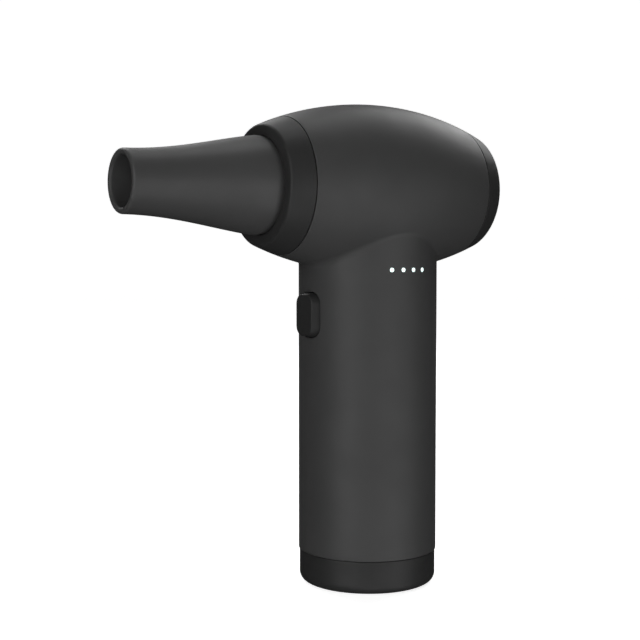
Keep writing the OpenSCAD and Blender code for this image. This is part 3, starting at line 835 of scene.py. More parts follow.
def dress_carried_nodes() -> None:
    """Gives every CAD node that stays its own finish."""
    for finish, names in CARRIED:
        for name in names.split():
            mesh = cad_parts[name].data
            mesh.materials.clear()
            mesh.materials.append(finish.material())
        LOG.info("%s on %s", finish.name, names)


def publish(
    form: Form, name: str, body: Body, finish: Finish, node: str, sharp: float = 34.0
) -> None:
    """Puts a finished piece into the scene.

    Args:
        form: The built surface.
        name: Name of the piece.
        body: Body that it moves with.
        finish: Its finish.
        node: CAD node that it stands for.
        sharp: Edges that turn by more than this angle in degrees are shaded sharp.
    """
    piece = bpy.data.objects.new(name, form.mesh(name, sharp))
    piece.data.materials.append(finish.material())
    bpy.context.scene.collection.objects.link(piece)
    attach(piece, body.value)
    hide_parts(node)
    LOG.info("%s: %d faces, rides on %s", name, len(piece.data.polygons), body.value)


# ---------------------------------------------------------------- sub-assemblies


@dataclass
class Housing:
    """The barrel and the handle in one moulding, with a soft fillet where they meet."""

    layout: Layout
    columns: int = 256
    level_rows: int = 64
    upper_rows: int = 12
    fillet_r: float = 3.0
    fillet_steps: int = 10
    edge: float = 0.15
    level_top: float = 101.4
    light_hole_r: float = 0.9
    light_rows: tuple[int, int] = (1, 5)
    light_cols: tuple[int, int] = (-2, 3)
    button_gap: float = 0.25
    button_reach: float = 9.9
    button_cols: int = 15
    wrap_deg: float = 95.0
    end_steps: int = 72
    side_steps: int = 56
    top_steps: int = 72
    under_steps: int = 22
    crowding: float = 1.25

    def build(self) -> None:
        """Builds the housing as one closed wall."""
        skin = Skin(self.edge)
        theta = full_turn(self.columns)
        centre, to_handle, to_barrel = self.ball(theta)
        self.add_handle(skin, theta, centre[:, 2])
        self.add_fillet(skin, centre, to_handle, to_barrel)
        self.add_barrel(skin, centre + self.fillet_r * to_barrel)
        form = Form()
        skin.close(form)
        publish(form, "housing_shell", Body.BLOWER, SOFT_TOUCH, "main_housing")

    def ball(self, theta: Array) -> tuple[Array, Array, Array]:
        """Centres of a ball that rolls round the handle and touches the barrel's underside.

        The centre lies at the handle's radius plus the ball's, and its distance from the barrel's
        arc is the ball's radius too, which gives its distance from the fan axis and so its height.

        Args:
            theta: Angles round the handle.

        Returns:
            Centres, and unit vectors from each to where it touches the handle and the barrel.
        """
        lay = self.layout
        big = lay.barrel_r + self.fillet_r
        flat = on_cylinder(theta, np.zeros_like(theta), lay.handle_r + self.fillet_r)
        x, y = flat[:, 0], flat[:, 1]
        from_axis = np.sqrt(big**2 - x**2) - lay.drop
        z = -np.sqrt(from_axis**2 - y**2)
        slope = (from_axis + lay.drop) / from_axis
        to_barrel = -np.column_stack([x, slope * y, slope * z]) / big
        to_handle = -on_cylinder(theta, np.zeros_like(theta), 1.0)
        return np.column_stack([x, y, z + lay.axis_z]), to_handle, to_barrel

    def add_fillet(self, skin: Skin, centre: Array, to_handle: Array, to_barrel: Array) -> None:
        """Adds the strip that the rolling ball leaves: great-circle arcs between the two touches.

        Args:
            skin: Takes the strip.
            centre: Centres of the ball.
            to_handle: Unit vectors from each centre to the handle.
            to_barrel: Unit vectors from each centre to the barrel.
        """
        turn = np.arccos(np.clip(np.einsum("ij,ij->i", to_handle, to_barrel), -1, 1))[None, :, None]
        s = np.linspace(0, 1, self.fillet_steps + 1)[:, None, None]
        way = (np.sin((1 - s) * turn) * to_handle + np.sin(s * turn) * to_barrel) / np.sin(turn)
        outer = centre + self.fillet_r * way
        skin.add(outer, centre + (self.fillet_r + self.layout.wall) * way, -way)

    def add_handle(self, skin: Skin, theta: Array, contact_z: Array) -> None:
        """Adds the handle's cylinder, with its openings for the button and the lights.

        Level rows run up to level_top. Above them each column is divided evenly up to the fillet.

        Args:
            skin: Takes the cylinder.
            theta: Angles round the handle.
            contact_z: Height of the fillet's edge at each angle.
        """
        lay = self.layout
        bottom = lay.cap_top + lay.seam_gap + self.edge
        level = np.linspace(bottom, self.level_top, self.level_rows + 1)
        share = np.linspace(0, 1, self.upper_rows + 1)[1:, None]
        upper = self.level_top + share * (contact_z - self.level_top)
        z = np.vstack([np.repeat(level[:, None], self.columns, 1), upper])
        keep = np.ones((len(z) - 1, self.columns), bool)
        button_z = float(np.mean([corner[2] for corner in node_box("trigger_button")]))
        step = level[1] - bottom
        rows = (
            int((button_z - self.button_reach - bottom) / step),
            int((button_z + self.button_reach - bottom) / step) + 1,
        )
        middle = self.columns // 2
        cols = (middle - self.button_cols, middle + self.button_cols)
        core, half = lay.button_core
        corner = lay.button_corner_r + self.button_gap + self.edge
        button = Opening((0.0, button_z), corner, half, core=core)
        self.punch(skin, z, keep, rows, cols, math.pi, button, True)
        light = Opening((0.0, lay.light_z), self.light_hole_r)
        rows = (self.level_rows + self.light_rows[0], self.level_rows + self.light_rows[1])
        for i in range(4):
            aim = 1.5 * math.pi + math.asin((i - 1.5) * lay.light_pitch / lay.handle_r)
            first = math.floor(aim / (2 * np.pi) * self.columns)
            cols = (first + self.light_cols[0], first + self.light_cols[1])
            self.punch(skin, z, keep, rows, cols, aim, light, False)
        angle = np.repeat(theta[None], len(z), 0)
        skin.add(
            on_cylinder(angle, z, lay.handle_r),
            on_cylinder(angle, z, lay.handle_r - lay.wall),
            on_cylinder(angle, np.zeros_like(z), 1.0),
            keep,
        )

    def punch(
        self,
        skin: Skin,
        z: Array,
        keep: Array,
        rows: tuple[int, int],
        cols: tuple[int, int],
        aim: float,
        opening: Opening,
        straight: bool,
    ) -> None:
        """Leaves a block of cells out of the handle and fills it with rings round an opening.

        The chart is the arc length from the angle aim, and the height. A straight opening keeps
        its width through the wall, so inside its angle a becomes asin(r sin a / inner radius).

        Args:
            skin: Takes the rings.
            z: Heights of the grid.
            keep: Cells of the grid, marked False where the block is.
            rows: First and last row of the block.
            cols: First and last column of the block.
            aim: Angle of the opening's centre.
            opening: The opening.
            straight: Whether its walls are parallel instead of radial.
        """
        r = self.layout.handle_r
        inner_r = r - self.layout.wall
        row, col = cut_block(keep, rows, cols)
        arc_length = (col * 2 * np.pi / self.columns - aim) * r
        chart = ringed(np.column_stack([arc_length, z[row, col % self.columns]]), opening, 5)
        off, height = chart[..., 0] / r, chart[..., 1]
        inner_off = off
        if straight:
            s = np.linspace(0, 1, len(chart))[:, None]
            inner_off = off * (1 - s) + np.arcsin(r * np.sin(off) / inner_r) * s
        skin.add(
            on_cylinder(aim + off, height, r),
            on_cylinder(aim + inner_off, height, inner_r),
            on_cylinder(aim + off, np.zeros_like(off), 1.0),
        )

    def add_barrel_patch(self, skin: Skin, x: Array, phi: Array, wrap_cols: bool) -> None:
        """Adds the barrel's wall at x and at the angle phi from its underside.

        Args:
            skin: Takes the patch.
            x: Distances along the fan axis.
            phi: Angles round it.
            wrap_cols: Whether the last column joins the first.
        """
        lay = self.layout
        r = lay.barrel(x)
        lift = r + lay.drop
        place = np.stack([x, r * np.sin(phi), lay.axis_z - r * np.cos(phi)], -1)
        normal = np.stack([x, lift * np.sin(phi), -lift * np.cos(phi)], -1) / lay.barrel_r
        skin.add(place, place - lay.wall * normal, normal, wrap_cols=wrap_cols)

    def add_barrel(self, skin: Skin, contact: Array) -> None:
        """Adds the barrel in two patches.

        The lower patch runs in straight lines of (x, angle) from the fillet's edge to a rectangle
        that wraps the underside. The upper patch is a plain grid over the rest.

        Args:
            skin: Takes the patches.
            contact: Points of the fillet's edge.
        """
        end = self.layout.seam_x - self.edge
        wrap = math.radians(self.wrap_deg)
        half, side = self.end_steps // 2, self.side_steps
        marks = np.cumsum([0, half, side, self.end_steps, side, half])
        index = np.arange(self.columns)
        rim_x = np.interp(index, marks, [end, end, -end, -end, end, end])
        rim_phi = np.interp(index, marks, [0, wrap, wrap, -wrap, -wrap, 0])
        phi = np.arctan2(contact[:, 1], self.layout.axis_z - contact[:, 2])
        s = np.linspace(0, 1, self.under_steps + 1)[:, None] ** self.crowding
        x = contact[:, 0] * (1 - s) + rim_x * s
        self.add_barrel_patch(skin, x, phi * (1 - s) + rim_phi * s, True)
        over = np.linspace(wrap, 2 * np.pi - wrap, self.top_steps + 1)
        self.add_barrel_patch(skin, *np.meshgrid(rim_x[half : half + side + 1], over), False)


@dataclass
class FrontRing:
    """The dark ring round the nozzle's socket, with the funnel that leads air into it.

    The nozzle's neck ends before the stop. Behind it the funnel widens from the throat, its outside
    comes back to the web, and the web leads out to a step in the parting face.
    """

    layout: Layout
    segments: int = 192
    rim_r: float = 1.2
    recess: Point = (15.45, 2.8)
    socket_r: float = 14.7
    throat_r: float = 12.3
    stop_x: float = -28.5
    funnel_x: float = -20.3
    funnel_r: Point = (16.8, 18.2)
    web: Point = (-26.8, 16.5)
    step: Point = (-27.0, 19.7)

    def build(self) -> None:
        """Turns the ring's closed profile about the fan axis."""
        lay = self.layout
        face = node_box("front_ring")[0][0]
        seam = -lay.seam_x - lay.seam_gap
        recess_r, depth = self.recess
        rim_x = face + self.rim_r
        rim = (rim_x, math.sqrt((lay.barrel_r - self.rim_r) ** 2 - rim_x**2) - lay.drop)
        lean = math.atan2(rim[1] + lay.drop, rim_x)
        x = np.linspace(seam, lay.barrel_r * math.cos(lean), 14)[1:-1]
        funnel = points((self.funnel_x, self.funnel_r[0]), (self.funnel_x, self.funnel_r[1]))
        profile = closed_profile(
            (points((seam, lay.barrel(seam))), 0.15),
            (np.column_stack([x, lay.barrel(x)]), 0.0),
            (arc(rim, self.rim_r, math.degrees(lean), 180, 14), 0.0),
            (points((face, recess_r)), 0.35),
            (points((face + depth, recess_r), (face + depth, self.socket_r)), 0.1),
            (points((self.stop_x, self.socket_r), (self.stop_x, self.throat_r)), 0.3),
            (funnel, 0.2),
            (points(self.web, self.step, (seam, self.step[1])), 0.0),
        )
        form = Form()
        form.add_closed(turned(profile, self.segments, Axis.FAN, lay.axis_z), True)
        publish(form, "front_trim_ring", Body.BLOWER, ERODED_ABS, "front_ring")


@dataclass
class Nozzle:
    """The push-on nozzle: a flared tube with a rolled shoulder, a collar and a grooved neck."""

    layout: Layout
    segments: int = 192
    mouth_r: float = 9.8
    mouth_in_r: float = 7.8
    shoulder_r: float = 15.6
    shoulder_x: float = -44.3
    roll_r: float = 5.0
    collar: Point = (15.3, -39.1)
    neck_r: float = 14.6
    neck_in_r: float = 12.2
    neck_end: float = -28.7
    groove: tuple[float, float, float] = (-33.75, -32.25, 13.2)

    def flare(self, x: Array, r0: float, r1: float) -> Array:
        """Radius r0 + (r1 - r0) t^2 (1.5 - 0.5 t^2), with t from the mouth to the shoulder."""
        t = np.clip((x - self.layout.mouth_x) / (self.shoulder_x - self.layout.mouth_x), 0, 1)
        return r0 + (r1 - r0) * t**2 * (1.5 - 0.5 * t**2)

    def roll(self) -> Array:
        """The shoulder's arc, from the flare's mean slope down to the collar's radius.

        Returns:
            Rows of (along, radius).
        """
        length = self.shoulder_x - self.layout.mouth_x
        slope = math.atan((self.shoulder_r - self.mouth_r) / length)
        x = self.shoulder_x + self.roll_r * math.sin(slope)
        r = self.shoulder_r - self.roll_r * math.cos(slope)
        last = math.degrees(math.asin((self.collar[0] - r) / self.roll_r))
        return arc((x, r), self.roll_r, 90 + math.degrees(slope), last, 16)

    def build(self) -> None:
        """Turns the nozzle's closed profile about the fan axis."""
        lip = (self.mouth_r - self.mouth_in_r) / 2
        lip_x = self.layout.mouth_x + lip
        x = np.linspace(lip_x, self.shoulder_x, 60)
        back = x[::-1]
        start, end, floor = self.groove
        collar_r, collar_x = self.collar
        profile = closed_profile(
            (np.column_stack([x, self.flare(x, self.mouth_r, self.shoulder_r)]), 0.0),
            (self.roll()[1:], 0.0),
            (points((collar_x, collar_r), (collar_x, self.neck_r), (start, self.neck_r)), 0.15),
            (points((start, floor), (end, floor)), 0.1),
            (points((end, self.neck_r)), 0.15),
            (points((self.neck_end, self.neck_r), (self.neck_end, self.neck_in_r)), 0.5),
            (np.column_stack([back, self.flare(back, self.mouth_in_r, self.neck_in_r)]), 0.0),
            (arc((lip_x, self.mouth_r - lip), lip, 270, 90, 18)[1:-1], 0.0),
        )
        form = Form()
        form.add_closed(turned(profile, self.segments, Axis.FAN, self.layout.axis_z), True)
        publish(form, "nozzle_shell", Body.NOZZLE, SOFT_TOUCH_NOZZLE, "nozzle")


@dataclass(frozen=True)
class SlotRing:
    """One ring of radial slots: how many, where they lie, and the polar block round each."""

    count: int
    offset: float
    reach: Point
    rows: tuple[int, int]
    half_cols: int


@dataclass
class RearCap:
    """The domed intake cap with two rings of radial slots, and the foam behind them."""

    layout: Layout
    columns: int = 192
    edge: float = 0.12
    skin_t: float = 2.0
    corner_r: float = 3.1
    dome_r: float = 51.0
    slot_r: float = 0.8
    slot_rings: tuple[SlotRing, ...] = (
        SlotRing(24, 0.0, (11.0, 15.4), (2, 8), 3),
        SlotRing(12, 0.5, (5.0, 8.4), (9, 14), 7),
    )
    chart_radii: tuple[float, ...] = (
        17.7, 17.1, 16.6, 15.4, 14.3, 13.2, 12.1, 11.0, 9.9,
        9.6, 8.4, 7.2, 6.0, 4.8, 3.6, 2.4, 1.2, 0,
    )
    neck_x: Point = (28.0, 34.2)
    neck_r: Point = (16.9, 19.6)
    groove: tuple[float, float, float] = (30.25, 31.75, 18.3)
    shelf: tuple[Point, ...] = ((34.3, 20.6), (36.1, 20.2), (36.1, 16.9))
    foam_r: float = 16.6
    foam: Point = (36.3, 39.3)
    foam_edge: float = 0.8
    foam_wave: float = 0.09

    def build(self) -> None:
        """Builds the cap's wall with its slots, its neck and the foam."""
        skin = Skin(self.edge)
        self.add_side(skin)
        self.add_dome(skin)
        form = Form()
        skin.close(form)
        (front, back), (inner_r, outer_r) = self.neck_x, self.neck_r
        start, end, floor = self.groove
        neck = closed_profile(
            (points((front, inner_r), (front, outer_r)), 0.4),
            (points((start, outer_r), (start, floor), (end, floor), (end, outer_r)), 0.1),
            (points((back, outer_r), *self.shelf), 0.0),
        )
        form.add_closed(turned(neck, self.columns, Axis.FAN, self.layout.axis_z), True)
        publish(form, "intake_cap", Body.CAP, ERODED_ABS, "rear_grille")
        self.build_foam()

    def corner(self) -> Array:
        """Centre of the rounding: it lies inside the barrel's and the dome's arcs by its radius.

        Returns:
            Where circles of those two smaller radii about the arcs' centres cross.
        """
        lay = self.layout
        a, b = lay.barrel_r - self.corner_r, self.dome_r - self.corner_r
        p, q = np.array([0, -lay.drop]), np.array([lay.dome_x - self.dome_r, 0])
        d = float(np.linalg.norm(q - p))
        u = (q - p) / d
        along = (a * a - b * b + d * d) / (2 * d)
        side = math.sqrt(a * a - along * along)
        return p + along * u + side * np.array([abs(u[1]), abs(u[0])])

    def add_side(self, skin: Skin) -> None:
        """Adds the barrel's last stretch, the rounding and the dome's rim, each with its normals.

        Args:
            skin: Takes the wall.
        """
        lay = self.layout
        corner = self.corner()
        start = math.acos((lay.seam_x + lay.seam_gap + self.edge) / lay.barrel_r)
        meet = math.atan2(corner[1] + lay.drop, corner[0])
        top_x = lay.dome_x - self.dome_r
        leave = math.atan2(corner[1], corner[0] - top_x)
        rim = math.asin(self.chart_radii[0] / self.dome_r)
        start, meet, leave, rim = (math.degrees(a) for a in (start, meet, leave, rim))
        parts = (
            (arc((0, -lay.drop), lay.barrel_r, start, meet, 8), (0, -lay.drop)),
            (arc(tuple(corner), self.corner_r, meet, leave, 16)[1:], corner),
            (arc((top_x, 0), self.dome_r, leave, rim, 3)[1:], (top_x, 0)),
        )
        profile = np.vstack([p for p, _ in parts])
        normal = np.vstack([unit(p - np.array(c)) for p, c in parts])
        skin.add(
            turned(profile, self.columns, Axis.FAN, lay.axis_z),
            turned(profile - self.skin_t * normal, self.columns, Axis.FAN, lay.axis_z),
            turned(normal, self.columns, Axis.FAN),
        )

    def add_dome_patch(self, skin: Skin, chart: Array, keep: Array | None) -> None:
        """Adds the dome's wall over chart points (y, height above the fan axis).

        Args:
            skin: Takes the patch.
            chart: Grid of chart points.
            keep: Cells that are left, or None for all.
        """
        over = np.sqrt(self.dome_r**2 - (chart**2).sum(-1))
        x = self.layout.dome_x - self.dome_r + over
        place = np.stack([x, chart[..., 0], self.layout.axis_z + chart[..., 1]], -1)
        normal = np.dstack([over, chart]) / self.dome_r
        skin.add(place, place - self.skin_t * normal, normal, keep)

    def add_dome(self, skin: Skin) -> None:
        """Adds the dome as a polar grid, with a block of cells opened round each slot.

        Args:
            skin: Takes the dome.
        """
        chart = polar_chart(np.array(self.chart_radii), self.columns)
        keep = np.ones((len(chart) - 1, self.columns), bool)
        for ring in self.slot_rings:
            near, far = ring.reach
            for i in range(ring.count):
                middle = round((i + ring.offset) * self.columns / ring.count)
                aim = middle * 2 * np.pi / self.columns
                way = (math.cos(aim), math.sin(aim))
                centre = ((near + far) / 2 * way[0], (near + far) / 2 * way[1])
                slot = Opening(centre, self.slot_r + self.edge, (far - near) / 2, way)
                cols = (middle - ring.half_cols, middle + ring.half_cols)
                row, col = cut_block(keep, ring.rows, cols)
                self.add_dome_patch(skin, ringed(chart[row, col % self.columns], slot, 3), None)
        self.add_dome_patch(skin, chart, keep)

    def build_foam(self) -> None:
        """Builds the foam disc: flat faces with soft edges, roughened by a sum of sine waves."""
        (x0, x1), soft, axis_z = self.foam, self.foam_edge, self.layout.axis_z
        middle = (x0 + x1) / 2
        r = np.linspace(0, self.foam_r - 0.6, 46)
        side = points((x0 + 0.3, self.foam_r - 0.1), (middle + soft, self.foam_r))
        side = np.vstack([side, points((x1 - 0.3, self.foam_r - 0.1))])
        back = np.column_stack([np.full_like(r, x0), r])
        front = np.column_stack([np.full_like(r, x1), r])[::-1]
        grid = turned(np.vstack([back, side, front]), 144, Axis.FAN, axis_z)
        y, z = grid[..., 1], grid[..., 2]
        wave = np.sin(3.1 * y + 1.7 * z) * np.sin(2.3 * z - 1.1 * y)
        wave += 0.6 * np.sin(5.3 * y - 4.1 * z)
        fade = np.clip(np.hypot(y, z - axis_z) / 2, 0, 1)
        grid[..., 0] += self.foam_wave * wave * fade * np.sign(grid[..., 0] - middle)
        form = Form()
        form.add_closed(grid)
        publish(form, "intake_foam", Body.CAP, POLYURETHANE, "filter_foam", 60.0)


@dataclass
class BottomCap:
    """The cup under the handle, with three screw holes and the window for the charging plug."""

    layout: Layout
    columns: int = 256
    edge: float = 0.15
    skin_t: float = 2.0
    round_r: float = 3.0
    wall_rows: int = 10
    chart_radii: tuple[float, ...] = (19.4, 18.3, 17.2, 16.1, 15.0, 14.1, 13.2, 10, 7, 4.5, 2.2, 0)
    screw_at: float = 16.4
    screw_hole_r: float = 2.5
    screw_angles: tuple[float, ...] = (30.0, 150.0, 270.0)
    screw_cols: int = 9
    window: tuple[float, float, float] = (6.0, 1.9, 3.0)
    window_cols: int = 13
    block_rows: tuple[int, int] = (1, 7)

    def build(self) -> None:
        """Builds the cap as one closed wall."""
        skin = Skin(self.edge)
        self.add_wall(skin)
        self.add_edge(skin)
        self.add_foot(skin)
        form = Form()
        skin.close(form)
        publish(form, "bottom_cup", Body.BLOWER, ERODED_ABS, "bottom_cap")

    @property
    def radius(self) -> float:
        """Outer radius of the cup."""
        return self.layout.handle_r - self.layout.cap_step

    def add_wall(self, skin: Skin) -> None:
        """Adds the upright wall, opened round the charging window at angle 0.

        Args:
            skin: Takes the wall.
        """
        r, top = self.radius, self.layout.cap_top - self.edge
        z = np.linspace(self.round_r, top, self.wall_rows + 1)
        keep = np.ones((self.wall_rows, self.columns), bool)
        middle, half_h, half_l = self.window
        window = Opening((0.0, middle), half_h + self.edge, half_l, (1.0, 0.0))
        row, col = cut_block(keep, self.block_rows, (-self.window_cols, self.window_cols))
        chart = ringed(np.column_stack([col * 2 * np.pi / self.columns * r, z[row]]), window, 4)
        whole = np.meshgrid(full_turn(self.columns), z)
        for angle, height, kept in ((*whole, keep), (chart[..., 0] / r, chart[..., 1], None)):
            outer = on_cylinder(angle, height, r)
            normal = on_cylinder(angle, np.zeros_like(height), 1.0)
            skin.add(outer, outer - self.skin_t * normal, normal, kept)

    def add_edge(self, skin: Skin) -> None:
        """Adds the rounded edge between the wall and the foot.

        Args:
            skin: Takes the edge.
        """
        turn = np.radians(np.linspace(0, -90, 11))
        normal = np.column_stack([np.sin(turn), np.cos(turn)])
        profile = np.array([self.round_r, self.radius - self.round_r]) + self.round_r * normal
        skin.add(
            turned(profile, self.columns, Axis.HANDLE),
            turned(profile - self.skin_t * normal, self.columns, Axis.HANDLE),
            turned(normal, self.columns, Axis.HANDLE),
        )

    def add_foot(self, skin: Skin) -> None:
        """Adds the flat foot, opened round each screw hole.

        Args:
            skin: Takes the foot.
        """
        chart = polar_chart(np.array([self.radius - self.round_r, *self.chart_radii]), self.columns)
        keep = np.ones((len(chart) - 1, self.columns), bool)
        for degrees in self.screw_angles:
            aim = math.radians(degrees)
            middle = round(aim / (2 * np.pi) * self.columns)
            cols = (middle - self.screw_cols, middle + self.screw_cols)
            row, col = cut_block(keep, self.block_rows, cols)
            centre = (self.screw_at * math.cos(aim), self.screw_at * math.sin(aim))
            hole = Opening(centre, self.screw_hole_r + self.edge)
            self.add_flat(skin, ringed(chart[row, col % self.columns], hole, 3), None)
        self.add_flat(skin, chart, keep)

    def add_flat(self, skin: Skin, chart: Array, keep: Array | None) -> None:
        """Adds a patch of the foot, flat at height 0, from chart points (x, y).

        Args:
            skin: Takes the patch.
            chart: Grid of chart points.
            keep: Cells that are left, or None for all.
        """
        zero = np.zeros(chart.shape[:2])
        place, normal = np.dstack([chart, zero]), np.dstack([zero, zero, zero - 1])
        skin.add(place, place - self.skin_t * normal, normal, keep)


@dataclass(frozen=True)
class RoundLoop:
    """A closed loop at a distance w outside an upright rectangle, which may be just a line.

    Each point is a base on the rectangle's outline plus w times a direction.
    """

    half_width: float
    half_length: float
    arc_steps: int = 12
    side_steps: int = 8

    def parts(self) -> tuple[Array, Array]:
        """Goes round the rectangle: a quarter turn at each corner, then the side after it.

        Returns:
            Bases and directions of the loop's points, as (across, up).
        """
        c, h = self.half_width, self.half_length
        corners = points((c, h), (-c, h), (-c, -h), (c, -h))
        base, way = [], []
        for i, (corner, after) in enumerate(zip(corners, np.roll(corners, -1, axis=0))):
            a = np.radians(90 * i + np.linspace(0, 90, self.arc_steps + 1))
            arm = np.column_stack([np.cos(a), np.sin(a)])
            steps = self.side_steps if np.any(corner != after) else 1
            s = np.linspace(0, 1, steps + 1)[1:-1, None]
            turn = arm if steps > 1 else arm[:-1]
            base += [corner + 0 * turn, corner + s * (after - corner)]
            way += [turn, 0 * s + arm[-1]]
        return np.vstack(base), np.vstack(way)


@dataclass
class Trigger:
    """The button: a drafted key on a flange, with the pin that presses the switch."""

    layout: Layout
    draft: float = 0.5
    draft_from: float = 0.3
    flange: tuple[float, float, float] = (4.8, -19.5, -18.3)
    pin: Point = (2.2, -16.0)
    pin_root: float = 0.2

    def build(self) -> None:
        """Carries a rounded rectangle through the button's profile of (depth, corner radius).

        The first and last row shrink to the middle of the back and of the face.
        """
        low, high = node_box("trigger_button")
        middle = float(low[2] + high[2]) / 2
        face = float(low[0])
        wide, front, back = self.flange
        r, foot = self.layout.button_corner_r, self.draft_from - self.layout.handle_r
        flange = points((back, 0), (back, wide), (front, wide), (front, r))
        key = points((foot, r), (face, r - self.draft), (face, 0))
        body = rounded(np.vstack([flange, key]), np.array([0, 0.2, 0.2, 0, 0, 0.5, 0]), 8)
        base, way = RoundLoop(*self.layout.button_core).parts()
        depth, size = np.repeat(body[:, :1], len(way), 1), body[:, 1:]
        flat = (size > 0) * base[:, 0] + size * way[:, 0]
        up = middle + (size > 0) * base[:, 1] + size * way[:, 1]
        form = Form()
        form.add_closed(np.stack([depth, flat, up], -1))
        pin_r, pin_x = self.pin
        root = back - self.pin_root
        pin = points((root, 0), (root, pin_r), (pin_x, pin_r), (pin_x, 0))
        form.add_closed(turned(pin, 48, Axis.FAN, middle))
        publish(form, "trigger_key", Body.TRIGGER, SILICONE, "trigger_button")


@dataclass
class ChargeLights:
    """Four light pipes whose domed ends stand in the handle's wall, on one bar inside it."""

    layout: Layout
    radius: float = 0.67
    dome: float = 0.16
    sunk: float = 0.08
    length: float = 3.9
    bar: tuple[float, float, float] = (7.1, -18.7, 0.5)
    bar_half_height: float = 0.7

    def build(self) -> None:
        """Turns each pipe about its own ray from the handle's centre line."""
        form = Form()
        r, height, up = self.layout.handle_r, self.layout.light_z, np.array([0, 0, 1.0])
        a = full_turn(32)[None, :, None]
        s = np.linspace(1, 0, 7)
        tip = np.column_stack([r - self.sunk + self.dome * (1 - s**2), self.radius * s])
        profile = np.vstack([points((r - self.length, 0), (r - self.length, self.radius)), tip])
        along, across = profile[:, 0][:, None, None], profile[:, 1][:, None, None]
        for x in (np.arange(4) - 1.5) * self.layout.light_pitch:
            ray = np.array([x, -math.sqrt(r * r - x * x), 0]) / r
            side = np.array([-ray[1], ray[0], 0])
            round_ray = across * (np.cos(a) * side + np.sin(a) * up)
            form.add_closed(along * ray + round_ray + height * up)
        half, y, w = self.bar
        base, way = RoundLoop(0.0, self.bar_half_height).parts()
        x = np.array([-half, -half, half, half])[:, None] + 0 * way[:, 0]
        size = np.array([0, w, w, 0])[:, None]
        z = height + base[:, 1] + size * way[:, 1]
        form.add_closed(np.stack([x, y + size * way[:, 0], z], -1))
        publish(form, "charge_light_pipes", Body.BLOWER, LIT_PIPE, "light_guide")


@dataclass(frozen=True)
class Blades:
    """A ring of twisted blades about the fan axis.

    At each radius the blade's section is an ellipse on a bent middle line, turned by a pitch that
    changes evenly from root to tip, and then wrapped round the axis.
    """

    count: int
    radii: Point
    middle_x: float
    chord: float
    pitch_deg: Point
    thickness: float
    camber: float
    stations: int = 14
    around: int = 40

    def add_to(self, form: Form, axis_z: float) -> None:
        """Adds the blades to a form.

        Args:
            form: The form.
            axis_z: Height of the fan axis.
        """
        s = np.concatenate([[0], np.linspace(0, 1, self.stations), [1]])[:, None]
        full = np.ones_like(s)
        full[[0, -1]] = 0
        p = full_turn(self.around)
        r = self.radii[0] + s * (self.radii[1] - self.radii[0])
        pitch = np.radians(self.pitch_deg[0] + s * (self.pitch_deg[1] - self.pitch_deg[0]))
        along = self.chord / 2 * np.cos(p) + 0 * s
        across = full * self.thickness / 2 * np.sin(p) + self.camber * (1 - np.cos(p) ** 2)
        x = self.middle_x + along * np.cos(pitch) - across * np.sin(pitch)
        swing = (along * np.sin(pitch) + across * np.cos(pitch)) / r
        for turn in full_turn(self.count) + np.pi / self.count:
            a = swing + turn
            form.add_closed(np.stack([x, r * np.cos(a), axis_z + r * np.sin(a)], -1))


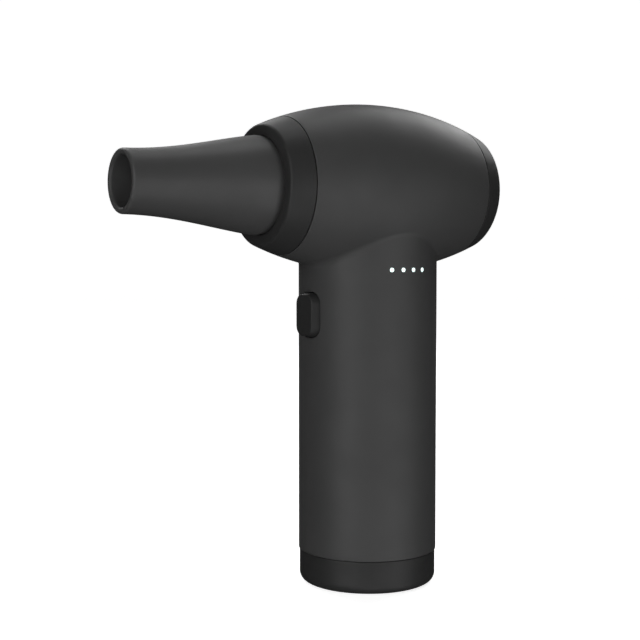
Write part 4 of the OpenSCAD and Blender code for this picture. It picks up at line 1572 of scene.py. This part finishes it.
@dataclass
class Fan:
    """What can be seen down the air way: the guide vanes, the tail cone and the impeller."""

    layout: Layout
    segments: int = 128
    hub_r: float = 9.8
    hub_in_r: float = 9.0
    hub_x: tuple[float, float, float] = (-15.0, 3.0, 7.0)
    bearing_r: float = 4.52
    ring_x: Point = (-15.0, -3.0)
    ring_r: Point = (15.9, 16.75)
    vanes: Blades = Blades(9, (9.5, 16.2), -9.0, 11.4, (12.0, 18.0), 1.3, 0.8)
    tail_x: float = -15.05
    tail_length: float = 11.9
    tail_wall: float = 0.9
    wheel_x: Point = (8.0, 20.0)
    wheel_r: Point = (9.4, 5.5)
    bore_r: float = 1.5
    wheel: Blades = Blades(11, (6.4, 16.4), 14.0, 13.2, (34.0, 56.0), 1.0, 0.9)

    def build(self) -> None:
        """Builds the still and the turning part."""
        self.build_vanes()
        self.build_tail()
        self.build_impeller()

    def add_turned(self, form: Form, profile: Array, wrap_rows: bool) -> None:
        """Adds a profile turned about the fan axis."""
        form.add_closed(turned(profile, self.segments, Axis.FAN, self.layout.axis_z), wrap_rows)

    def build_vanes(self) -> None:
        """Turns the hub and the outer ring, and sets the vanes between them."""
        form = Form()
        front, step, back = self.hub_x
        hub = closed_profile(
            (points((front, self.hub_r), (front, self.hub_in_r)), 0.1),
            (points((step, self.hub_in_r), (step, self.bearing_r), (back, self.bearing_r)), 0.0),
            (points((back, self.hub_r)), 0.4),
        )
        (x0, x1), (r0, r1) = self.ring_x, self.ring_r
        ring = closed_profile((points((x0, r0), (x0, r1), (x1, r1), (x1, r0)), 0.25))
        self.add_turned(form, hub, True)
        self.add_turned(form, ring, True)
        self.vanes.add_to(form, self.layout.axis_z)
        publish(form, "guide_vanes", Body.BLOWER, GLASS_NYLON, "vane_carrier")

    def build_tail(self) -> None:
        """Turns the tail cone: its radius falls as sqrt(1 - (0.97 t)^2) to a closed tip."""
        t = np.sin(np.linspace(0, 1, 28) * np.pi / 2)
        fall = np.sqrt(1 - (0.97 * t) ** 2)
        outer_x = self.tail_x - self.tail_length * t
        inner_x = self.tail_x - (self.tail_length - self.tail_wall) * t
        outer = np.column_stack([outer_x, self.hub_r * fall])
        inner = np.column_stack([inner_x, (self.hub_r - self.tail_wall) * fall])[::-1]
        ends = points((inner_x[-1], 0), (outer_x[-1], 0))
        form = Form()
        self.add_turned(form, np.vstack([ends[:1], inner, outer, ends[1:]]), False)
        publish(form, "tail_cone_shell", Body.BLOWER, GLASS_NYLON, "tail_cone")

    def build_impeller(self) -> None:
        """Turns the impeller's hub, which narrows as s^1.6, and sets the twisted blades on it."""
        form = Form()
        s = np.linspace(0, 1, 16)
        (x0, x1), (r0, r1) = self.wheel_x, self.wheel_r
        slope = np.column_stack([x0 + (x1 - x0) * s, r0 + (r1 - r0) * s**1.6])
        bore = points((x0, self.bore_r), (x1, self.bore_r))
        self.add_turned(form, np.vstack([bore[:1], slope, bore[1:]]), True)
        self.wheel.add_to(form, self.layout.axis_z)
        publish(form, "impeller_wheel", Body.ROTOR, CAST_ALUMINIUM, "impeller")


# ---------------------------------------------------------------- studio


def placed(right: Array, back: Array, place: Array) -> Matrix:
    """World matrix of a camera or light that looks against its back vector.

    Args:
        right: Unit vector to its right.
        back: Unit vector behind it.
        place: Where it stands, in metres.

    Returns:
        The matrix with columns right, up, back and place.
    """
    matrix = np.eye(4)
    matrix[:3] = np.column_stack([right, np.cross(back, right), back, place])
    return Matrix(matrix.tolist())


@dataclass(frozen=True)
class Viewpoint:
    """The camera: a long lens a little above the handle's middle, looking slightly down."""

    eye: tuple[float, float, float] = (-239.486, -342.025, 109.994)
    yaw_deg: float = 32.821
    pitch_deg: float = -3.105
    lens_mm: float = 70.23
    sensor_mm: float = 36.0

    def build(self) -> None:
        """Makes the camera from its right, up and ahead vectors, and gives it to the scene."""
        data = bpy.data.cameras.new("studio_camera")
        data.lens, data.sensor_width, data.sensor_fit = self.lens_mm, self.sensor_mm, "HORIZONTAL"
        data.clip_start, data.clip_end = 0.01, 100.0
        camera = bpy.data.objects.new("studio_camera", data)
        yaw, pitch = math.radians(self.yaw_deg), math.radians(self.pitch_deg)
        level = np.array([math.sin(yaw), math.cos(yaw), 0.0])
        ahead = math.cos(pitch) * level + math.sin(pitch) * np.array([0.0, 0.0, 1.0])
        right = np.array([math.cos(yaw), -math.sin(yaw), 0.0])
        camera.matrix_world = placed(right, -ahead, np.array(self.eye) * MM)
        bpy.context.scene.collection.objects.link(camera)
        bpy.context.scene.camera = camera
        LOG.info("camera %.1f mm at %s", self.lens_mm, self.eye)


@dataclass(frozen=True)
class Softbox:
    """A square soft light one metre from the object, seen from it at an azimuth and an elevation.

    Azimuth 0 is on the side of the charge lights, and -90 in front of the nozzle.
    """

    name: str
    azimuth_deg: float
    elevation_deg: float
    watts: float
    size: float = 0.55
    distance: float = 1.0
    aim: tuple[float, float, float] = (-0.01, 0.0, 0.09)

    def build(self) -> None:
        """Makes the light and turns it to face the object."""
        data = bpy.data.lights.new(self.name, "AREA")
        data.shape, data.size, data.energy = "SQUARE", self.size, self.watts
        light = bpy.data.objects.new(self.name, data)
        a, e = math.radians(self.azimuth_deg), math.radians(self.elevation_deg)
        back = np.array([math.sin(a) * math.cos(e), -math.cos(a) * math.cos(e), math.sin(e)])
        side = np.array([math.cos(a), math.sin(a), 0.0])
        light.matrix_world = placed(side, back, np.array(self.aim) + self.distance * back)
        light.visible_camera = False
        bpy.context.scene.collection.objects.link(light)


@dataclass(frozen=True)
class LightTable(Finish):
    """Opal acrylic lit from below. It glows a little less under the object, so a shadow shows."""

    near: Point = (0.12, 0.84)
    far: Point = (0.9, 0.98)

    def dress(self, tree: Tree, shader: bpy.types.Node, place: Socket) -> None:
        """Adds a glow that grows with the distance from the middle.

        Args:
            tree: Node tree.
            shader: Principled shader.
            place: Object coordinates.
        """
        super().dress(tree, shader, place)
        away = add_node(tree, "ShaderNodeVectorMath", {0: place}, operation="LENGTH")
        span = {
            "Value": away.outputs["Value"],
            "From Min": self.near[0],
            "From Max": self.far[0],
            "To Min": self.near[1],
            "To Max": self.far[1],
        }
        glow = add_node(tree, "ShaderNodeMapRange", span, interpolation_type="SMOOTHSTEP")
        tree.links.new(glow.outputs["Result"], shader.inputs["Emission Strength"])
        shader.inputs["Emission Color"].default_value = (1.0, 1.0, 1.0, 1.0)


# Opal acrylic: even, white and shadowless, like a product table.
OPAL = LightTable("opal_acrylic", "housing", "#e6e6e6", "#e4e4e4", 0.9, 3.0, 0.01, 300.0, 0.0)


@dataclass(frozen=True)
class Studio:
    """A pale floor that sweeps up into a round wall, soft lights and a faint even world."""

    lights: tuple[Softbox, ...]
    floor_r: float = 2.5
    sweep_r: float = 1.5
    wall_top: float = 4.5
    below: float = 0.0002
    world: float = 0.02
    segments: int = 96

    def build(self) -> None:
        """Builds the floor, the world and the lights."""
        self.build_floor()
        world = bpy.data.worlds.new("dim_room")
        world.use_nodes = True
        background = world.node_tree.nodes["Background"]
        background.inputs["Color"].default_value = (1, 1, 1, 1)
        background.inputs["Strength"].default_value = self.world
        bpy.context.scene.world = world
        for light in self.lights:
            light.build()
        LOG.info("studio with %d lights", len(self.lights))

    def build_floor(self) -> None:
        """Turns the floor's profile about the handle: flat, a quarter arc, and the wall.

        It is seen by the camera only, so the object is lit by the soft lights alone.
        """
        sweep = arc((self.sweep_r, self.floor_r), self.sweep_r, 180, 90, 16)
        wall = (self.wall_top, self.floor_r + self.sweep_r)
        profile = np.vstack([points((0, 0)), sweep, points(wall)]) - np.array([self.below, 0])
        grid = turned(profile / MM, self.segments, Axis.HANDLE)
        form = Form()
        form.add(grid, grid_faces(*grid.shape[:2])[:, ::-1])
        floor = bpy.data.objects.new("pale_floor", form.mesh("pale_floor", 60.0))
        floor.data.materials.append(OPAL.material())
        bpy.context.scene.collection.objects.link(floor)
        floor.visible_diffuse = floor.visible_glossy = floor.visible_shadow = False


LIGHTS = (
    Softbox("key", -70, -5, 3.1),
    Softbox("upper_key", -50, 25, 2.26),
    Softbox("table_front", -35, -35, 1.73),
    Softbox("side", 0, -5, 1.6),
    Softbox("table_side", 25, -35, 1.55),
    Softbox("far_side", 30, -5, 1.0),
    Softbox("overhead", -35, 100, 2.4),
    Softbox("rear", 112, 40, 3.6),
    Softbox("rear_left", 178, 40, 3.6),
)


def main() -> None:
    """Builds the studio and the object, piece by piece."""
    logging.basicConfig(level=logging.INFO, format="%(name)s: %(message)s")
    bpy.context.scene.view_settings.view_transform = "Standard"
    Viewpoint().build()
    Studio(LIGHTS).build()
    layout = Layout.read()
    for part in (Housing, FrontRing, Nozzle, RearCap, BottomCap, Trigger, ChargeLights, Fan):
        part(layout).build()
    dress_carried_nodes()
    bpy.context.view_layer.update()


if __name__ == "__main__":
    main()
